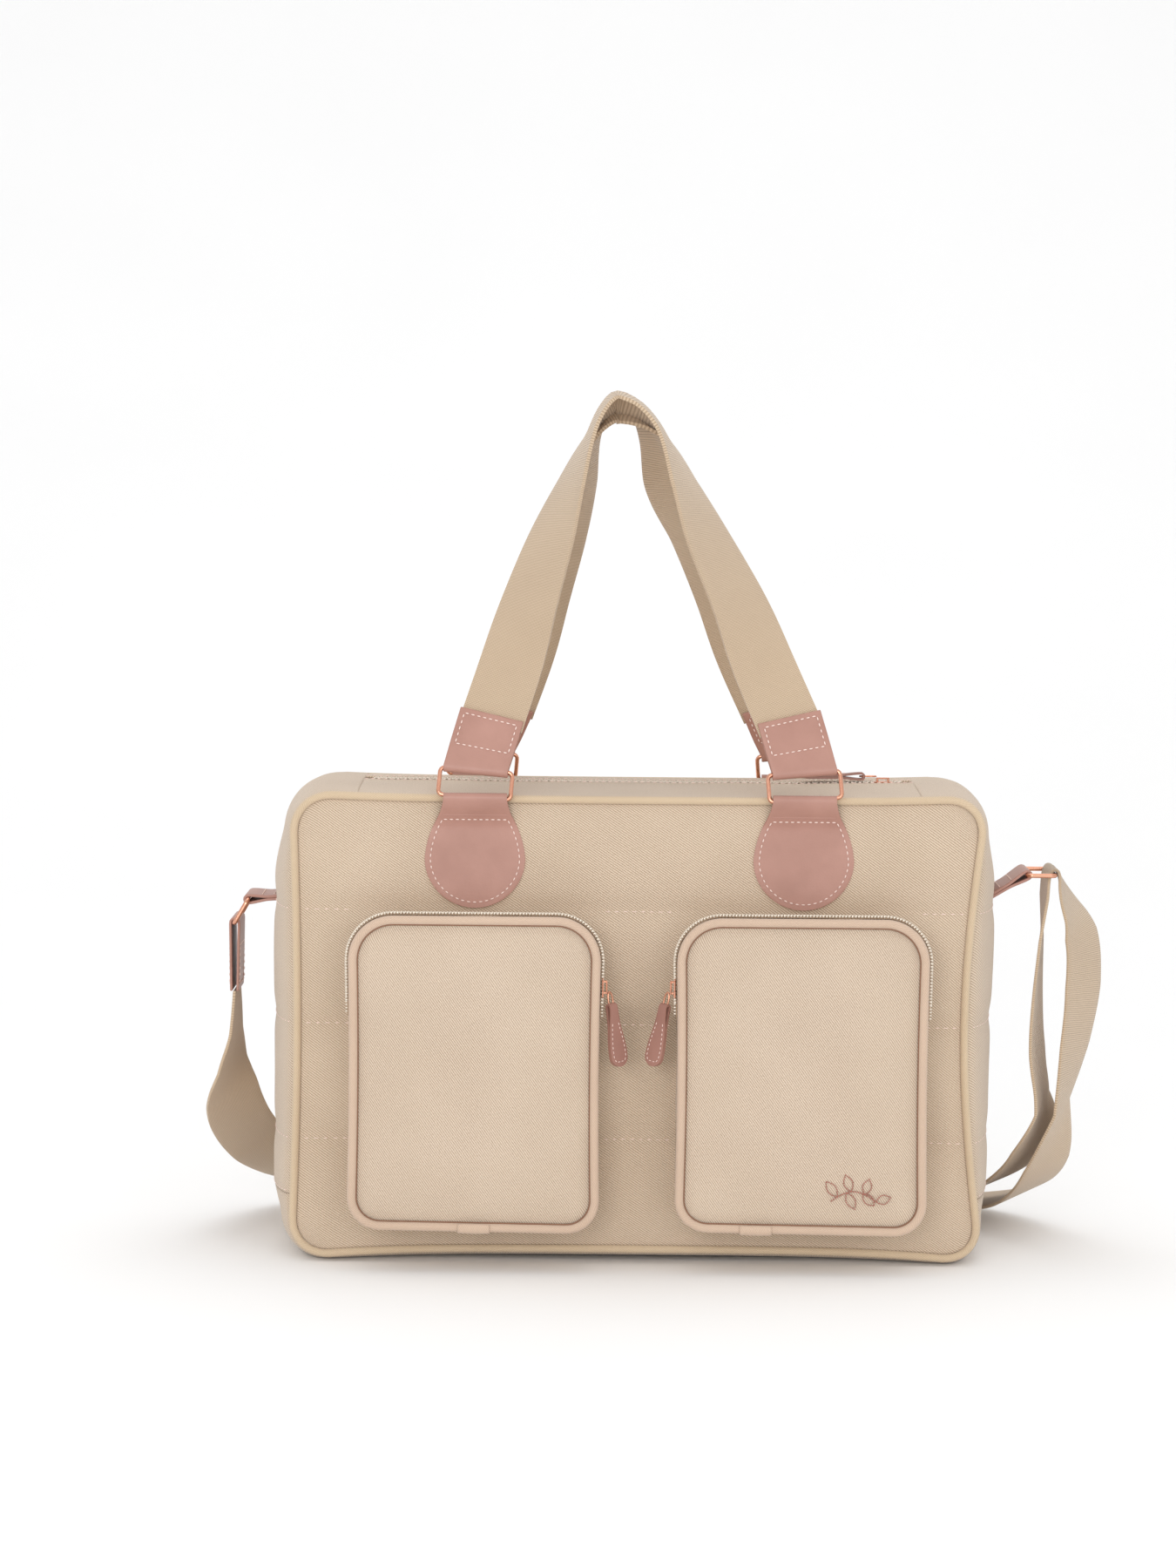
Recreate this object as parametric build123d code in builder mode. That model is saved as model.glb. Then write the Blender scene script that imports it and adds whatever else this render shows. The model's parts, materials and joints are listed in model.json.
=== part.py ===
from build123d import *

import os
from math import cos, radians, sin, tan

os.makedirs("parts", exist_ok=True)

# Boxy changing bag: two panels edged with piping, a gusset ring between them, a zipped
# top, two zipped front pockets, two webbing handles on rings and a shoulder strap.
# Millimetres. X runs along the bag, the front faces -Y, the bag stands on z = 0.

# Driving dimensions of the bag
BAG_WIDTH = 414.0  # between the centrelines of the piping
BAG_HEIGHT = 280.0
BAG_DEPTH = 150.0  # outside faces of the front and back panels
BAG_CORNER = 24.0
FABRIC = 2.0  # a face panel: canvas with its backing
PIPING_R = 2.25
PADDING = 4.0
PADDING_HALF = 197.0
PADDING_BOTTOM = 10.0
PADDING_TOP = 274.0
PADDING_CORNER = 20.0
LINING = 1.0
LINING_HALF = 203.0
LINING_BOTTOM = 5.5
LINING_TOP = 279.0
LINING_CORNER = 21.0
LINING_Y = 68.0
LINING_MOUTH_HALF = 168.0
GAP = 0.3  # between pieces that move past each other

# Places that follow from them
BAG_TOP = BAG_HEIGHT + 2 * PIPING_R
PANEL_Y = BAG_DEPTH / 2  # outside face of a panel, from the middle plane
PANEL_INSIDE_Y = PANEL_Y - FABRIC
PIPING_SINK = 1.0  # from the panel's face to the middle of its piping
SEAM = 0.05  # clearance between sewn pieces
PIPING_Y = PANEL_Y - PIPING_SINK
GUSSET_Y = PIPING_Y - PIPING_R - SEAM
GUSSET_WIDTH = BAG_WIDTH + 2 * PIPING_R

# Base and top gusset
BASE_PANEL_TOP = 40.0  # height of the seam between base and side gusset
TOP_OPENING_HALF = 168.0  # half the length of the zipped top
TOP_HINGE_Y = 71.0
ZIP_TAPE = 13.0  # one half of the main zip
ZIP_HALF_GAP = 0.2
TAPE_END = 2.0  # how far the tape stops short of the opening's ends
TEETH_END = 4.0
TAPE_THICK = 1.0
BOARD_SIZE = (350.0, 122.0, 2.5)
BOARD_CORNER = 8.0

# Handle tabs, keyhole shaped
TAB_X = 98.0
TAB_TOP = 281.0  # height of the ring bar that the tab holds
TAB_WIDTH = 37.4
TAB_CIRCLE_R = 30.0
TAB_BOTTOM = 214.5
TAB_THICK = 3.0
TAB_PLATE_TOP = 279.6  # flat part, just under the piping
TAB_NECK_FILLET = 9.0
NECK_BAND = (255.0, 275.0)  # heights between which the neck meets the circle

# Rectangular wire rings
WIRE_R = 1.4
RING_WIDTH = 43.2  # between bar centrelines
RING_RISE = 16.7
RING_CORNER = 3.0
BORE_R = WIRE_R + GAP
LOOP_WALL = 1.8
RING_BAR_Y = 80.5  # lower bar of a handle ring, from the middle plane

# Handles
HANDLE_LEAN = 16.8  # degrees in from vertical, so that both handles meet at the top
END_LENGTH = 37.0
END_WIDTH = 38.4
END_SHIFT = 10.5  # how far an end leans towards the middle over its length
END_THICK = 5.0
WEBBING = 3.0
HANDLE_RISE = 261.0
END_SLOPE = (-0.28, 1.0)  # the webbing's direction where it leaves its leather end

# Front pockets
POCKET_X = 97.0
POCKET_WIDTH = 150.0
POCKET_BOTTOM = 25.0
POCKET_TOP = 213.0
POCKET_TOP_R = 27.0
POCKET_BOTTOM_R = 20.0
POCKET_WALL = 1.6
POCKET_GUSSET_Y = 103.0  # where the zip starts, above the fold
POCKET_EDGE_Y = 106.0
POCKET_PIPING_R = 2.5
POCKET_PIPING_Y = 108.5
FACE_SINK = 0.8  # from the middle of the piping back to the face's inside
POCKET_FOLD_Z = 150.0  # where the zip ends and the face folds forward

# Zip sliders and pulls
SLIDER_SIZE = (3.2, 8.0, 12.0)
PIN_R = 0.8
EYE_BORE_R = 0.88
EYE_R = 2.2
PULL_SPLAY = 13.0
PULL_LENGTH = 43.0
PULL_WIDTH = 11.5
PULL_THICK = 2.4
PULL_START = 10.5  # from the pin to the leather
PULL_NARROW = 2.6  # half the leather's width where it starts
LINK_MIDDLE = 6.2
LINK_SIZE = (8.6, 2.4, 1.4)
MAIN_PLATE = (14.0, 9.0, 1.2)
MAIN_PLATE_CORNER = 2.5
EAR_SIZE = (4.0, 1.4, 4.4)
EAR_Y = 2.6
MAIN_PIN_RISE = 3.8
MAIN_PIN_HALF = 3.0
MAIN_EYE_HALF = 1.5
POCKET_EYE_HALF = 0.9
PIN_DROP = 3.5  # from the middle of a pocket slider down to its pin
PIN_LENGTH = 3.2
PIN_CAP = (1.3, 0.8)  # radius and length of the head on a pocket slider's pin
POCKET_SLIDER_Z = 171.0
MAIN_SLIDER_X = 150.0

# Shoulder strap: a run of webbing, drawn as a slim tube along its middle
STRAP_R = 1.5
SIDE_BAR = (238.0, 231.0)  # X and Z of the bar held by the right side loop
SIDE_BAR_LEFT_Z = 212.0
LOOP_ROOT_Z = 214.0  # where both side loops are sewn into the gusset
LOOP_ROOT_HALF = 3.0
LEFT_RING_DROP = 60.0  # degrees that the left ring hangs below level
STRAP_END_LENGTH = 42.0
STRAP_END_THICK = 4.6
STRAP_SLIDER = (28.0, 46.0, 2.6)
STRAP_SLIDER_CORNER = 3.0
STRAP_SLIDER_Z = 3.4
SLIDER_SLOT = (9.0, 40.0)
SLOT_SPACING = 12.6
TURN_CLEAR = WIRE_R + STRAP_R + GAP


def save(part, label):
    """Gives a finished piece its name and writes it."""
    part.label = label
    export_step(part, f"parts/{label}.step")


def rounded_outline(half_width, bottom, top, corner, bottom_corner=None, shift=0.0):
    """A rounded rectangle as a flat sketch: X across and Y up from the bag's base."""
    with BuildSketch(mode=Mode.PRIVATE) as outline:
        with Locations((shift, (bottom + top) / 2)):
            Rectangle(2 * half_width, top - bottom)
        fillet(outline.vertices().group_by(Axis.Y)[-1], corner)
        fillet(outline.vertices().group_by(Axis.Y)[0], bottom_corner or corner)
    return outline.sketch


def wall_ring(outer, thick):
    """The rim of an outline, of that thickness."""
    with BuildSketch(mode=Mode.PRIVATE) as ring:
        add(outer)
        offset(amount=-thick, mode=Mode.SUBTRACT)
    return ring.sketch


def piping_ring(half_width, bottom, top, corner, bottom_corner, y, radius, shift=0.0):
    """A closed round cord along a rounded rectangle in an upright plane."""
    left, right = shift - half_width, shift + half_width
    with BuildPart(mode=Mode.PRIVATE) as ring:
        with BuildLine(Plane.XZ.offset(-y)) as path:
            FilletPolyline(
                (left, bottom),
                (right, bottom),
                (right, top),
                (left, top),
                radius=[bottom_corner, bottom_corner, corner, corner],
                close=True,
            )
        with BuildSketch(Plane(origin=path.line @ 0, z_dir=path.line % 0)):
            Circle(radius)
        sweep(transition=Transition.ROUND)
    return ring.part


# ---------------------------------------------------------------- panels and piping
half_width = BAG_WIDTH / 2
panel_outline = rounded_outline(
    half_width - PIPING_R - SEAM,
    2 * PIPING_R + SEAM,
    BAG_TOP - 2 * PIPING_R - SEAM,
    BAG_CORNER - PIPING_R,
)

with BuildPart() as front_panel:
    with BuildSketch(Plane.XZ.offset(PANEL_INSIDE_Y)):
        add(panel_outline)
    extrude(amount=FABRIC)

with BuildPart() as front_padding:
    with BuildSketch(Plane.XZ.offset(PANEL_INSIDE_Y - PADDING)):
        add(rounded_outline(PADDING_HALF, PADDING_BOTTOM, PADDING_TOP, PADDING_CORNER))
    extrude(amount=PADDING)

bag_piping = piping_ring(
    half_width, PIPING_R, BAG_TOP - PIPING_R, BAG_CORNER, BAG_CORNER, -PIPING_Y, PIPING_R
)

for end, turn in (("front", None), ("back", Plane.XZ)):
    for name, piece in (
        ("panel", front_panel.part),
        ("padding", front_padding.part),
        ("piping", bag_piping),
    ):
        save(piece if turn is None else mirror(piece, about=turn), f"{end}_{name}")

# ---------------------------------------------------------------- gusset ring
gusset_outline = rounded_outline(GUSSET_WIDTH / 2, 0.0, BAG_TOP, BAG_CORNER + PIPING_R)

with BuildPart() as base_panel:
    with BuildSketch(Plane.XZ):
        add(wall_ring(gusset_outline, FABRIC))
    extrude(amount=GUSSET_Y, both=True)
    split(bisect_by=Plane.XY.offset(BASE_PANEL_TOP), keep=Keep.BOTTOM)
save(base_panel.part, "base_panel")

with BuildPart() as side_gusset:
    with BuildSketch(Plane.XZ):
        add(wall_ring(gusset_outline, FABRIC))
    extrude(amount=GUSSET_Y, both=True)
    split(bisect_by=Plane.XY.offset(BASE_PANEL_TOP), keep=Keep.TOP)
    split(bisect_by=Plane.YZ.offset(TOP_OPENING_HALF), keep=Keep.TOP)
save(side_gusset.part, "side_gusset_right")
save(mirror(side_gusset.part, about=Plane.YZ), "side_gusset_left")

with BuildPart() as base_board:
    with BuildSketch(Plane.XY.offset(FABRIC + 0.2)):
        RectangleRounded(BOARD_SIZE[0], BOARD_SIZE[1], BOARD_CORNER)
    extrude(amount=BOARD_SIZE[2])
save(base_board.part, "base_board")

lining_outline = rounded_outline(LINING_HALF, LINING_BOTTOM, LINING_TOP, LINING_CORNER)

with BuildPart() as lining:
    with BuildSketch(Plane.XZ):
        add(lining_outline)
    extrude(amount=LINING_Y, both=True)
    with BuildSketch(Plane.XZ):
        add(lining_outline)
        offset(amount=-LINING, mode=Mode.REPLACE)
    extrude(amount=LINING_Y - LINING, both=True, mode=Mode.SUBTRACT)
    with BuildSketch(Plane.XY.offset(LINING_TOP - 2 * LINING)):
        Rectangle(2 * LINING_MOUTH_HALF, 2 * (LINING_Y - LINING))
    extrude(amount=3 * LINING, mode=Mode.SUBTRACT)
save(lining.part, "lining")

# ---------------------------------------------------------------- zipped top
TOP_SKIN_Z = BAG_TOP - FABRIC
TAPE_Z = TOP_SKIN_Z + 0.3
TEETH_HALF = 1.6
TEETH_HEIGHT = 2.4

with BuildPart() as top_panel:
    with BuildSketch(Plane.XY.offset(TOP_SKIN_Z)):
        with Locations((0, -(TOP_HINGE_Y + ZIP_TAPE) / 2)):
            Rectangle(2 * (TOP_OPENING_HALF - GAP), TOP_HINGE_Y + 0.2 - ZIP_TAPE)
    extrude(amount=FABRIC)

with BuildPart() as main_zip:
    with BuildSketch(Plane.XY.offset(TAPE_Z)):
        with Locations((0, -(ZIP_TAPE + ZIP_HALF_GAP) / 2)):
            Rectangle(2 * (TOP_OPENING_HALF - TAPE_END), ZIP_TAPE - 3 * ZIP_HALF_GAP)
    extrude(amount=TAPE_THICK)
    with BuildSketch(Plane.XY.offset(TAPE_Z)):
        with Locations((0, -2 * ZIP_HALF_GAP - TEETH_HALF / 2)):
            Rectangle(2 * (TOP_OPENING_HALF - TEETH_END), TEETH_HALF)
    extrude(amount=TEETH_HEIGHT)

save(top_panel.part, "top_panel_front")
save(mirror(top_panel.part, about=Plane.XZ), "top_panel_back")
save(main_zip.part, "main_zip_front")
save(mirror(main_zip.part, about=Plane.XZ), "main_zip_back")

# Main slider: a plate over the teeth with a pin through its ears for the pull
MAIN_SLIDER_Z = TAPE_Z + TEETH_HEIGHT + GAP
MAIN_PIN_Z = MAIN_SLIDER_Z + MAIN_PIN_RISE
MAIN_PIN_X = MAIN_SLIDER_X - 5.0

with BuildPart() as main_slider:
    with BuildSketch(Plane.XY.offset(MAIN_SLIDER_Z)):
        with Locations((MAIN_SLIDER_X, 0)):
            RectangleRounded(MAIN_PLATE[0], MAIN_PLATE[1], MAIN_PLATE_CORNER)
    extrude(amount=MAIN_PLATE[2])
    with BuildSketch(Plane.XY.offset(MAIN_SLIDER_Z + 1.0)):
        with Locations((MAIN_PIN_X, EAR_Y), (MAIN_PIN_X, -EAR_Y)):
            Rectangle(EAR_SIZE[0], EAR_SIZE[1])
    extrude(amount=EAR_SIZE[2])
    with BuildSketch(Plane.XZ.shift_origin((MAIN_PIN_X, 0, MAIN_PIN_Z))):
        Circle(PIN_R)
    extrude(amount=MAIN_PIN_HALF, both=True)
save(main_slider.part, "main_zip_slider")


def teardrop(reach, start, end_r):
    """A pull's outline along +X from start, narrow where it starts and round at its end."""
    tip = start + reach - end_r
    with BuildSketch(mode=Mode.PRIVATE) as drop:
        with BuildLine() as edge:
            Polyline((start, -PULL_NARROW), (start, PULL_NARROW), (tip, end_r))
            ThreePointArc((tip, end_r), (tip + end_r, 0), (tip, -end_r))
            Line((tip, -end_r), (start, -PULL_NARROW))
        make_face()
    return drop.sketch


def pull_link(plane):
    """The metal eye and bar of a pull, reaching along the plane's +X from its pin."""
    with BuildPart(mode=Mode.PRIVATE) as link:
        with BuildSketch(plane):
            with Locations((LINK_MIDDLE, 0)):
                Rectangle(LINK_SIZE[0], LINK_SIZE[1])
        extrude(amount=LINK_SIZE[2] / 2, both=True)
    return link.part


def pull_leather(plane):
    """The leather drop of a pull, on the end of its link."""
    with BuildPart(mode=Mode.PRIVATE) as drop:
        with BuildSketch(plane):
            add(teardrop(PULL_LENGTH, PULL_START, PULL_WIDTH / 2))
        extrude(amount=PULL_THICK / 2, both=True)
    return drop.part


# Main pull: lies flat on the zip, pointing the way the slider opens
main_plane = Plane(origin=(MAIN_PIN_X, 0, MAIN_PIN_Z), x_dir=(-1, 0, 0), z_dir=(0, 0, 1))

with BuildPart() as main_pull_link:
    with BuildSketch(Plane.XZ.shift_origin((MAIN_PIN_X, 0, MAIN_PIN_Z))):
        Circle(EYE_R)
    extrude(amount=MAIN_EYE_HALF, both=True)
    add(pull_link(main_plane))
    with BuildSketch(Plane.XZ.shift_origin((MAIN_PIN_X, 0, MAIN_PIN_Z))):
        Circle(EYE_BORE_R)
    extrude(amount=2 * MAIN_EYE_HALF, both=True, mode=Mode.SUBTRACT)
save(main_pull_link.part, "main_pull_link")

main_pull = pull_leather(main_plane)
save(main_pull, "main_pull")

# ---------------------------------------------------------------- handle tabs
TAB_LOOP_R = BORE_R + LOOP_WALL

with BuildPart() as tab:
    with BuildSketch(Plane.XZ.offset(PANEL_Y)):
        with BuildSketch(mode=Mode.PRIVATE) as keyhole:
            with Locations((TAB_X, TAB_BOTTOM + TAB_CIRCLE_R)):
                Circle(TAB_CIRCLE_R)
            with Locations((TAB_X, (TAB_BOTTOM + TAB_CIRCLE_R + TAB_PLATE_TOP) / 2)):
                Rectangle(TAB_WIDTH, TAB_PLATE_TOP - TAB_BOTTOM - TAB_CIRCLE_R)
            necks = keyhole.vertices().filter_by_position(Axis.Y, *NECK_BAND)
            fillet(necks, TAB_NECK_FILLET)
        add(keyhole.sketch)
    extrude(amount=TAB_THICK)
    with BuildSketch(Plane.YZ.offset(TAB_X)):
        with Locations((-RING_BAR_Y, TAB_TOP)):
            Circle(TAB_LOOP_R)
    extrude(amount=TAB_WIDTH / 2, both=True)
    with BuildSketch(Plane.YZ.offset(TAB_X)):
        with Locations((-RING_BAR_Y, TAB_TOP)):
            Circle(BORE_R)
    extrude(amount=TAB_WIDTH, both=True, mode=Mode.SUBTRACT)

# ---------------------------------------------------------------- handles and rings
# Local X runs along the bag and local Y up the leaning handle, from the lower ring bar.
lean = radians(HANDLE_LEAN)
handle_plane = Plane(
    origin=(0, -RING_BAR_Y, TAB_TOP), x_dir=(1, 0, 0), z_dir=(0, -cos(lean), sin(lean))
)
END_TOP = RING_RISE + END_LENGTH


def wire_ring(plane, centre):
    """A rectangular wire ring in a plane, its first bar through the plane's X axis."""
    half = RING_WIDTH / 2
    with BuildPart(mode=Mode.PRIVATE) as ring:
        with BuildLine(plane) as path:
            FilletPolyline(
                (centre - half, 0),
                (centre + half, 0),
                (centre + half, RING_RISE),
                (centre - half, RING_RISE),
                radius=RING_CORNER,
                close=True,
            )
        with BuildSketch(Plane(origin=path.line @ 0, z_dir=path.line % 0)):
            Circle(WIRE_R)
        sweep(transition=Transition.ROUND)
    return ring.part


ring_right = wire_ring(handle_plane, TAB_X)

bar_plane = Plane(
    origin=handle_plane.from_local_coords(Vector(TAB_X, RING_RISE, 0)), z_dir=(1, 0, 0)
)
with BuildPart() as handle_end:
    with BuildSketch(handle_plane):
        with BuildLine():
            Polyline(
                (TAB_X - END_WIDTH / 2, RING_RISE),
                (TAB_X + END_WIDTH / 2, RING_RISE),
                (TAB_X + END_WIDTH / 2 - END_SHIFT, END_TOP),
                (TAB_X - END_WIDTH / 2 - END_SHIFT, END_TOP),
                close=True,
            )
        make_face()
    extrude(amount=END_THICK / 2, both=True)
    with BuildSketch(bar_plane):
        Circle(BORE_R + LOOP_WALL)
    extrude(amount=END_WIDTH / 2, both=True)
    with BuildSketch(bar_plane):
        Circle(BORE_R)
    extrude(amount=END_WIDTH, both=True, mode=Mode.SUBTRACT)

# Outside and inside edges of the right half of the webbing arch
OUTER_EDGE = [
    (TAB_X + END_WIDTH / 2 - END_SHIFT, END_TOP),
    (79.0, 120.0),
    (42.0, 195.0),
    (0.0, HANDLE_RISE),
]
INNER_EDGE = [
    (TAB_X - END_WIDTH / 2 - END_SHIFT, END_TOP),
    (46.0, 120.0),
    (27.0, 190.0),
    (0.0, 243.0),
]

with BuildPart() as handle_webbing:
    with BuildSketch(handle_plane):
        with BuildLine():
            Spline(*OUTER_EDGE, tangents=[END_SLOPE, (-1.0, 0.0)])
            Line(OUTER_EDGE[-1], INNER_EDGE[-1])
            Spline(*INNER_EDGE, tangents=[END_SLOPE, (-1.0, 0.0)])
            Line(OUTER_EDGE[0], INNER_EDGE[0])
        make_face()
        mirror(about=Plane.YZ)
    extrude(amount=WEBBING / 2, both=True)

for end, turn in (("front", None), ("back", Plane.XZ)):
    for side, flip in (("right", None), ("left", Plane.YZ)):
        for name, piece in (
            (f"handle_tab_{end}_{side}", tab.part),
            (f"{end}_ring_{side}", ring_right),
            (f"{end}_handle_end_{side}", handle_end.part),
        ):
            placed = piece if flip is None else mirror(piece, about=flip)
            save(placed if turn is None else mirror(placed, about=turn), name)
    webbing = handle_webbing.part
    save(webbing if turn is None else mirror(webbing, about=turn), f"{end}_handle_webbing")

# ---------------------------------------------------------------- front pockets
half_pocket = POCKET_WIDTH / 2
pocket_outline = rounded_outline(
    half_pocket, POCKET_BOTTOM, POCKET_TOP, POCKET_TOP_R, POCKET_BOTTOM_R, POCKET_X
)
FACE_INSET = 2 * POCKET_PIPING_R + SEAM
face_outline = rounded_outline(
    half_pocket - FACE_INSET,
    POCKET_BOTTOM + FACE_INSET,
    POCKET_TOP - FACE_INSET,
    POCKET_TOP_R - FACE_INSET,
    POCKET_BOTTOM_R - FACE_INSET,
    POCKET_X,
)
fold = Plane.XY.offset(POCKET_FOLD_Z)
below_fold = Plane.XY.offset(POCKET_FOLD_Z - GAP / 2)
above_fold = Plane.XY.offset(POCKET_FOLD_Z + GAP / 2)

with BuildPart() as pocket_gusset:
    with BuildSketch(Plane.XZ.offset(PANEL_Y)):
        add(wall_ring(pocket_outline, POCKET_WALL))
    extrude(amount=POCKET_GUSSET_Y - PANEL_Y)
    with BuildSketch(Plane.XZ.offset(POCKET_GUSSET_Y)):
        add(wall_ring(pocket_outline, POCKET_WALL))
        with Locations((POCKET_X, POCKET_FOLD_Z + POCKET_TOP / 2)):
            Rectangle(2 * POCKET_WIDTH, POCKET_TOP, mode=Mode.SUBTRACT)
    extrude(amount=POCKET_EDGE_Y - POCKET_GUSSET_Y)

with BuildPart() as pocket_zip:
    with BuildSketch(Plane.XZ.offset(POCKET_GUSSET_Y)):
        add(wall_ring(pocket_outline, POCKET_WALL))
    extrude(amount=POCKET_EDGE_Y - POCKET_GUSSET_Y)
    split(bisect_by=fold, keep=Keep.TOP)

FACE_Y = POCKET_PIPING_Y - FACE_SINK
with BuildPart() as pocket_face:
    with BuildSketch(Plane.XZ.offset(FACE_Y)):
        add(face_outline)
    extrude(amount=POCKET_WALL)
    split(bisect_by=below_fold, keep=Keep.BOTTOM)

with BuildPart() as pocket_flap:
    with BuildSketch(Plane.XZ.offset(FACE_Y)):
        add(face_outline)
    extrude(amount=POCKET_WALL)
    split(bisect_by=above_fold, keep=Keep.TOP)

pocket_piping = piping_ring(
    half_pocket - POCKET_PIPING_R,
    POCKET_BOTTOM + POCKET_PIPING_R,
    POCKET_TOP - POCKET_PIPING_R,
    POCKET_TOP_R - POCKET_PIPING_R,
    POCKET_BOTTOM_R - POCKET_PIPING_R,
    -POCKET_PIPING_Y,
    POCKET_PIPING_R,
    POCKET_X,
)
with BuildPart() as pocket_piping_lower:
    add(pocket_piping)
    split(bisect_by=below_fold, keep=Keep.BOTTOM)

with BuildPart() as pocket_piping_upper:
    add(pocket_piping)
    split(bisect_by=above_fold, keep=Keep.TOP)

# Slider on the side of the pocket that faces the middle, with a pin for its pull
SLIDER_X = POCKET_X - half_pocket - GAP - SLIDER_SIZE[0] / 2
SLIDER_Y = 104.0
PIN_Z = POCKET_SLIDER_Z - PIN_DROP
pin_start = SLIDER_X - SLIDER_SIZE[0] / 2
EYE_REACH = 1.3  # from the slider's face to the middle of the link's eye

with BuildPart() as pocket_slider:
    with Locations((SLIDER_X, -SLIDER_Y, POCKET_SLIDER_Z)):
        Box(*SLIDER_SIZE)
    fillet(pocket_slider.edges().filter_by(Axis.X), 2.0)
    with BuildSketch(Plane.YZ.offset(pin_start)):
        with Locations((-SLIDER_Y, PIN_Z)):
            Circle(PIN_R)
    extrude(amount=-PIN_LENGTH)
    with BuildSketch(Plane.YZ.offset(pin_start - 2 * EYE_REACH)):
        with Locations((-SLIDER_Y, PIN_Z)):
            Circle(PIN_CAP[0])
    extrude(amount=-PIN_CAP[1])

splay = radians(PULL_SPLAY)
EYE_X = pin_start - EYE_REACH
pull_plane = Plane(
    origin=(EYE_X, -SLIDER_Y, PIN_Z), x_dir=(-sin(splay), 0, -cos(splay)), z_dir=(0, -1, 0)
)
with BuildPart() as pocket_pull_link:
    with BuildSketch(Plane.YZ.offset(EYE_X)):
        with Locations((-SLIDER_Y, PIN_Z)):
            Circle(EYE_R)
    extrude(amount=POCKET_EYE_HALF, both=True)
    add(pull_link(pull_plane))
    with BuildSketch(Plane.YZ.offset(EYE_X)):
        with Locations((-SLIDER_Y, PIN_Z)):
            Circle(EYE_BORE_R)
    extrude(amount=2 * EYE_REACH, both=True, mode=Mode.SUBTRACT)

pocket_pull = pull_leather(pull_plane)

for side, flip in (("right", None), ("left", Plane.YZ)):
    for name, piece in (
        ("pocket_gusset", pocket_gusset.part),
        ("pocket_zip", pocket_zip.part),
        ("pocket_face", pocket_face.part),
        ("pocket_flap", pocket_flap.part),
        ("pocket_piping_lower", pocket_piping_lower.part),
        ("pocket_piping_upper", pocket_piping_upper.part),
        ("pocket_slider", pocket_slider.part),
        ("pocket_pull_link", pocket_pull_link.part),
        ("pocket_pull", pocket_pull),
    ):
        save(piece if flip is None else mirror(piece, about=flip), f"{name}_{side}")

# ---------------------------------------------------------------- side loops and rings
bar_x, bar_z = SIDE_BAR
loop_root_x = GUSSET_WIDTH / 2 + 0.1


def side_loop(height):
    """The leather loop on the right gusset, round a bar at that height."""
    with BuildPart(mode=Mode.PRIVATE) as loop:
        with BuildSketch(Plane.XZ):
            with BuildLine():
                Polyline(
                    (loop_root_x, LOOP_ROOT_Z - LOOP_ROOT_HALF),
                    (loop_root_x, LOOP_ROOT_Z + LOOP_ROOT_HALF),
                    (bar_x - 1.5, height + TAB_LOOP_R - 0.3),
                    (bar_x + 0.5, height - TAB_LOOP_R + 0.1),
                    close=True,
                )
            make_face()
            with Locations((bar_x, height)):
                Circle(TAB_LOOP_R)
                Circle(BORE_R, mode=Mode.SUBTRACT)
        extrude(amount=TAB_WIDTH / 2, both=True)
    return loop.part


def side_ring(height, drop):
    """A ring on the right, its first bar at that height, hanging drop degrees below level."""
    fall = radians(drop)
    outward = Vector(cos(fall), 0, -sin(fall))
    return wire_ring(
        Plane(
            origin=(bar_x, 0, height),
            x_dir=(0, 1, 0),
            z_dir=Vector(0, 1, 0).cross(outward),
        ),
        0,
    )


save(side_loop(bar_z), "side_loop_right")
save(mirror(side_loop(SIDE_BAR_LEFT_Z), about=Plane.YZ), "side_loop_left")
save(side_ring(bar_z, 0.0), "side_ring_right")
save(mirror(side_ring(SIDE_BAR_LEFT_Z, LEFT_RING_DROP), about=Plane.YZ), "side_ring_left")

# ---------------------------------------------------------------- shoulder strap
drop = radians(LEFT_RING_DROP)
left_bar_x = -(bar_x + RING_RISE * cos(drop))
left_bar_z = SIDE_BAR_LEFT_Z - RING_RISE * sin(drop)
STRAP_EXIT = (left_bar_x, 0.0, left_bar_z - STRAP_END_LENGTH)

with BuildPart() as strap_end:
    with BuildSketch(Plane.XZ):
        with Locations((left_bar_x, left_bar_z - STRAP_END_LENGTH / 2)):
            Rectangle(STRAP_END_THICK, STRAP_END_LENGTH)
        with Locations((left_bar_x, left_bar_z)):
            Circle(TAB_LOOP_R)
            Circle(BORE_R, mode=Mode.SUBTRACT)
    extrude(amount=TAB_WIDTH / 2, both=True)
save(strap_end.part, "strap_leather_end")

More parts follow.
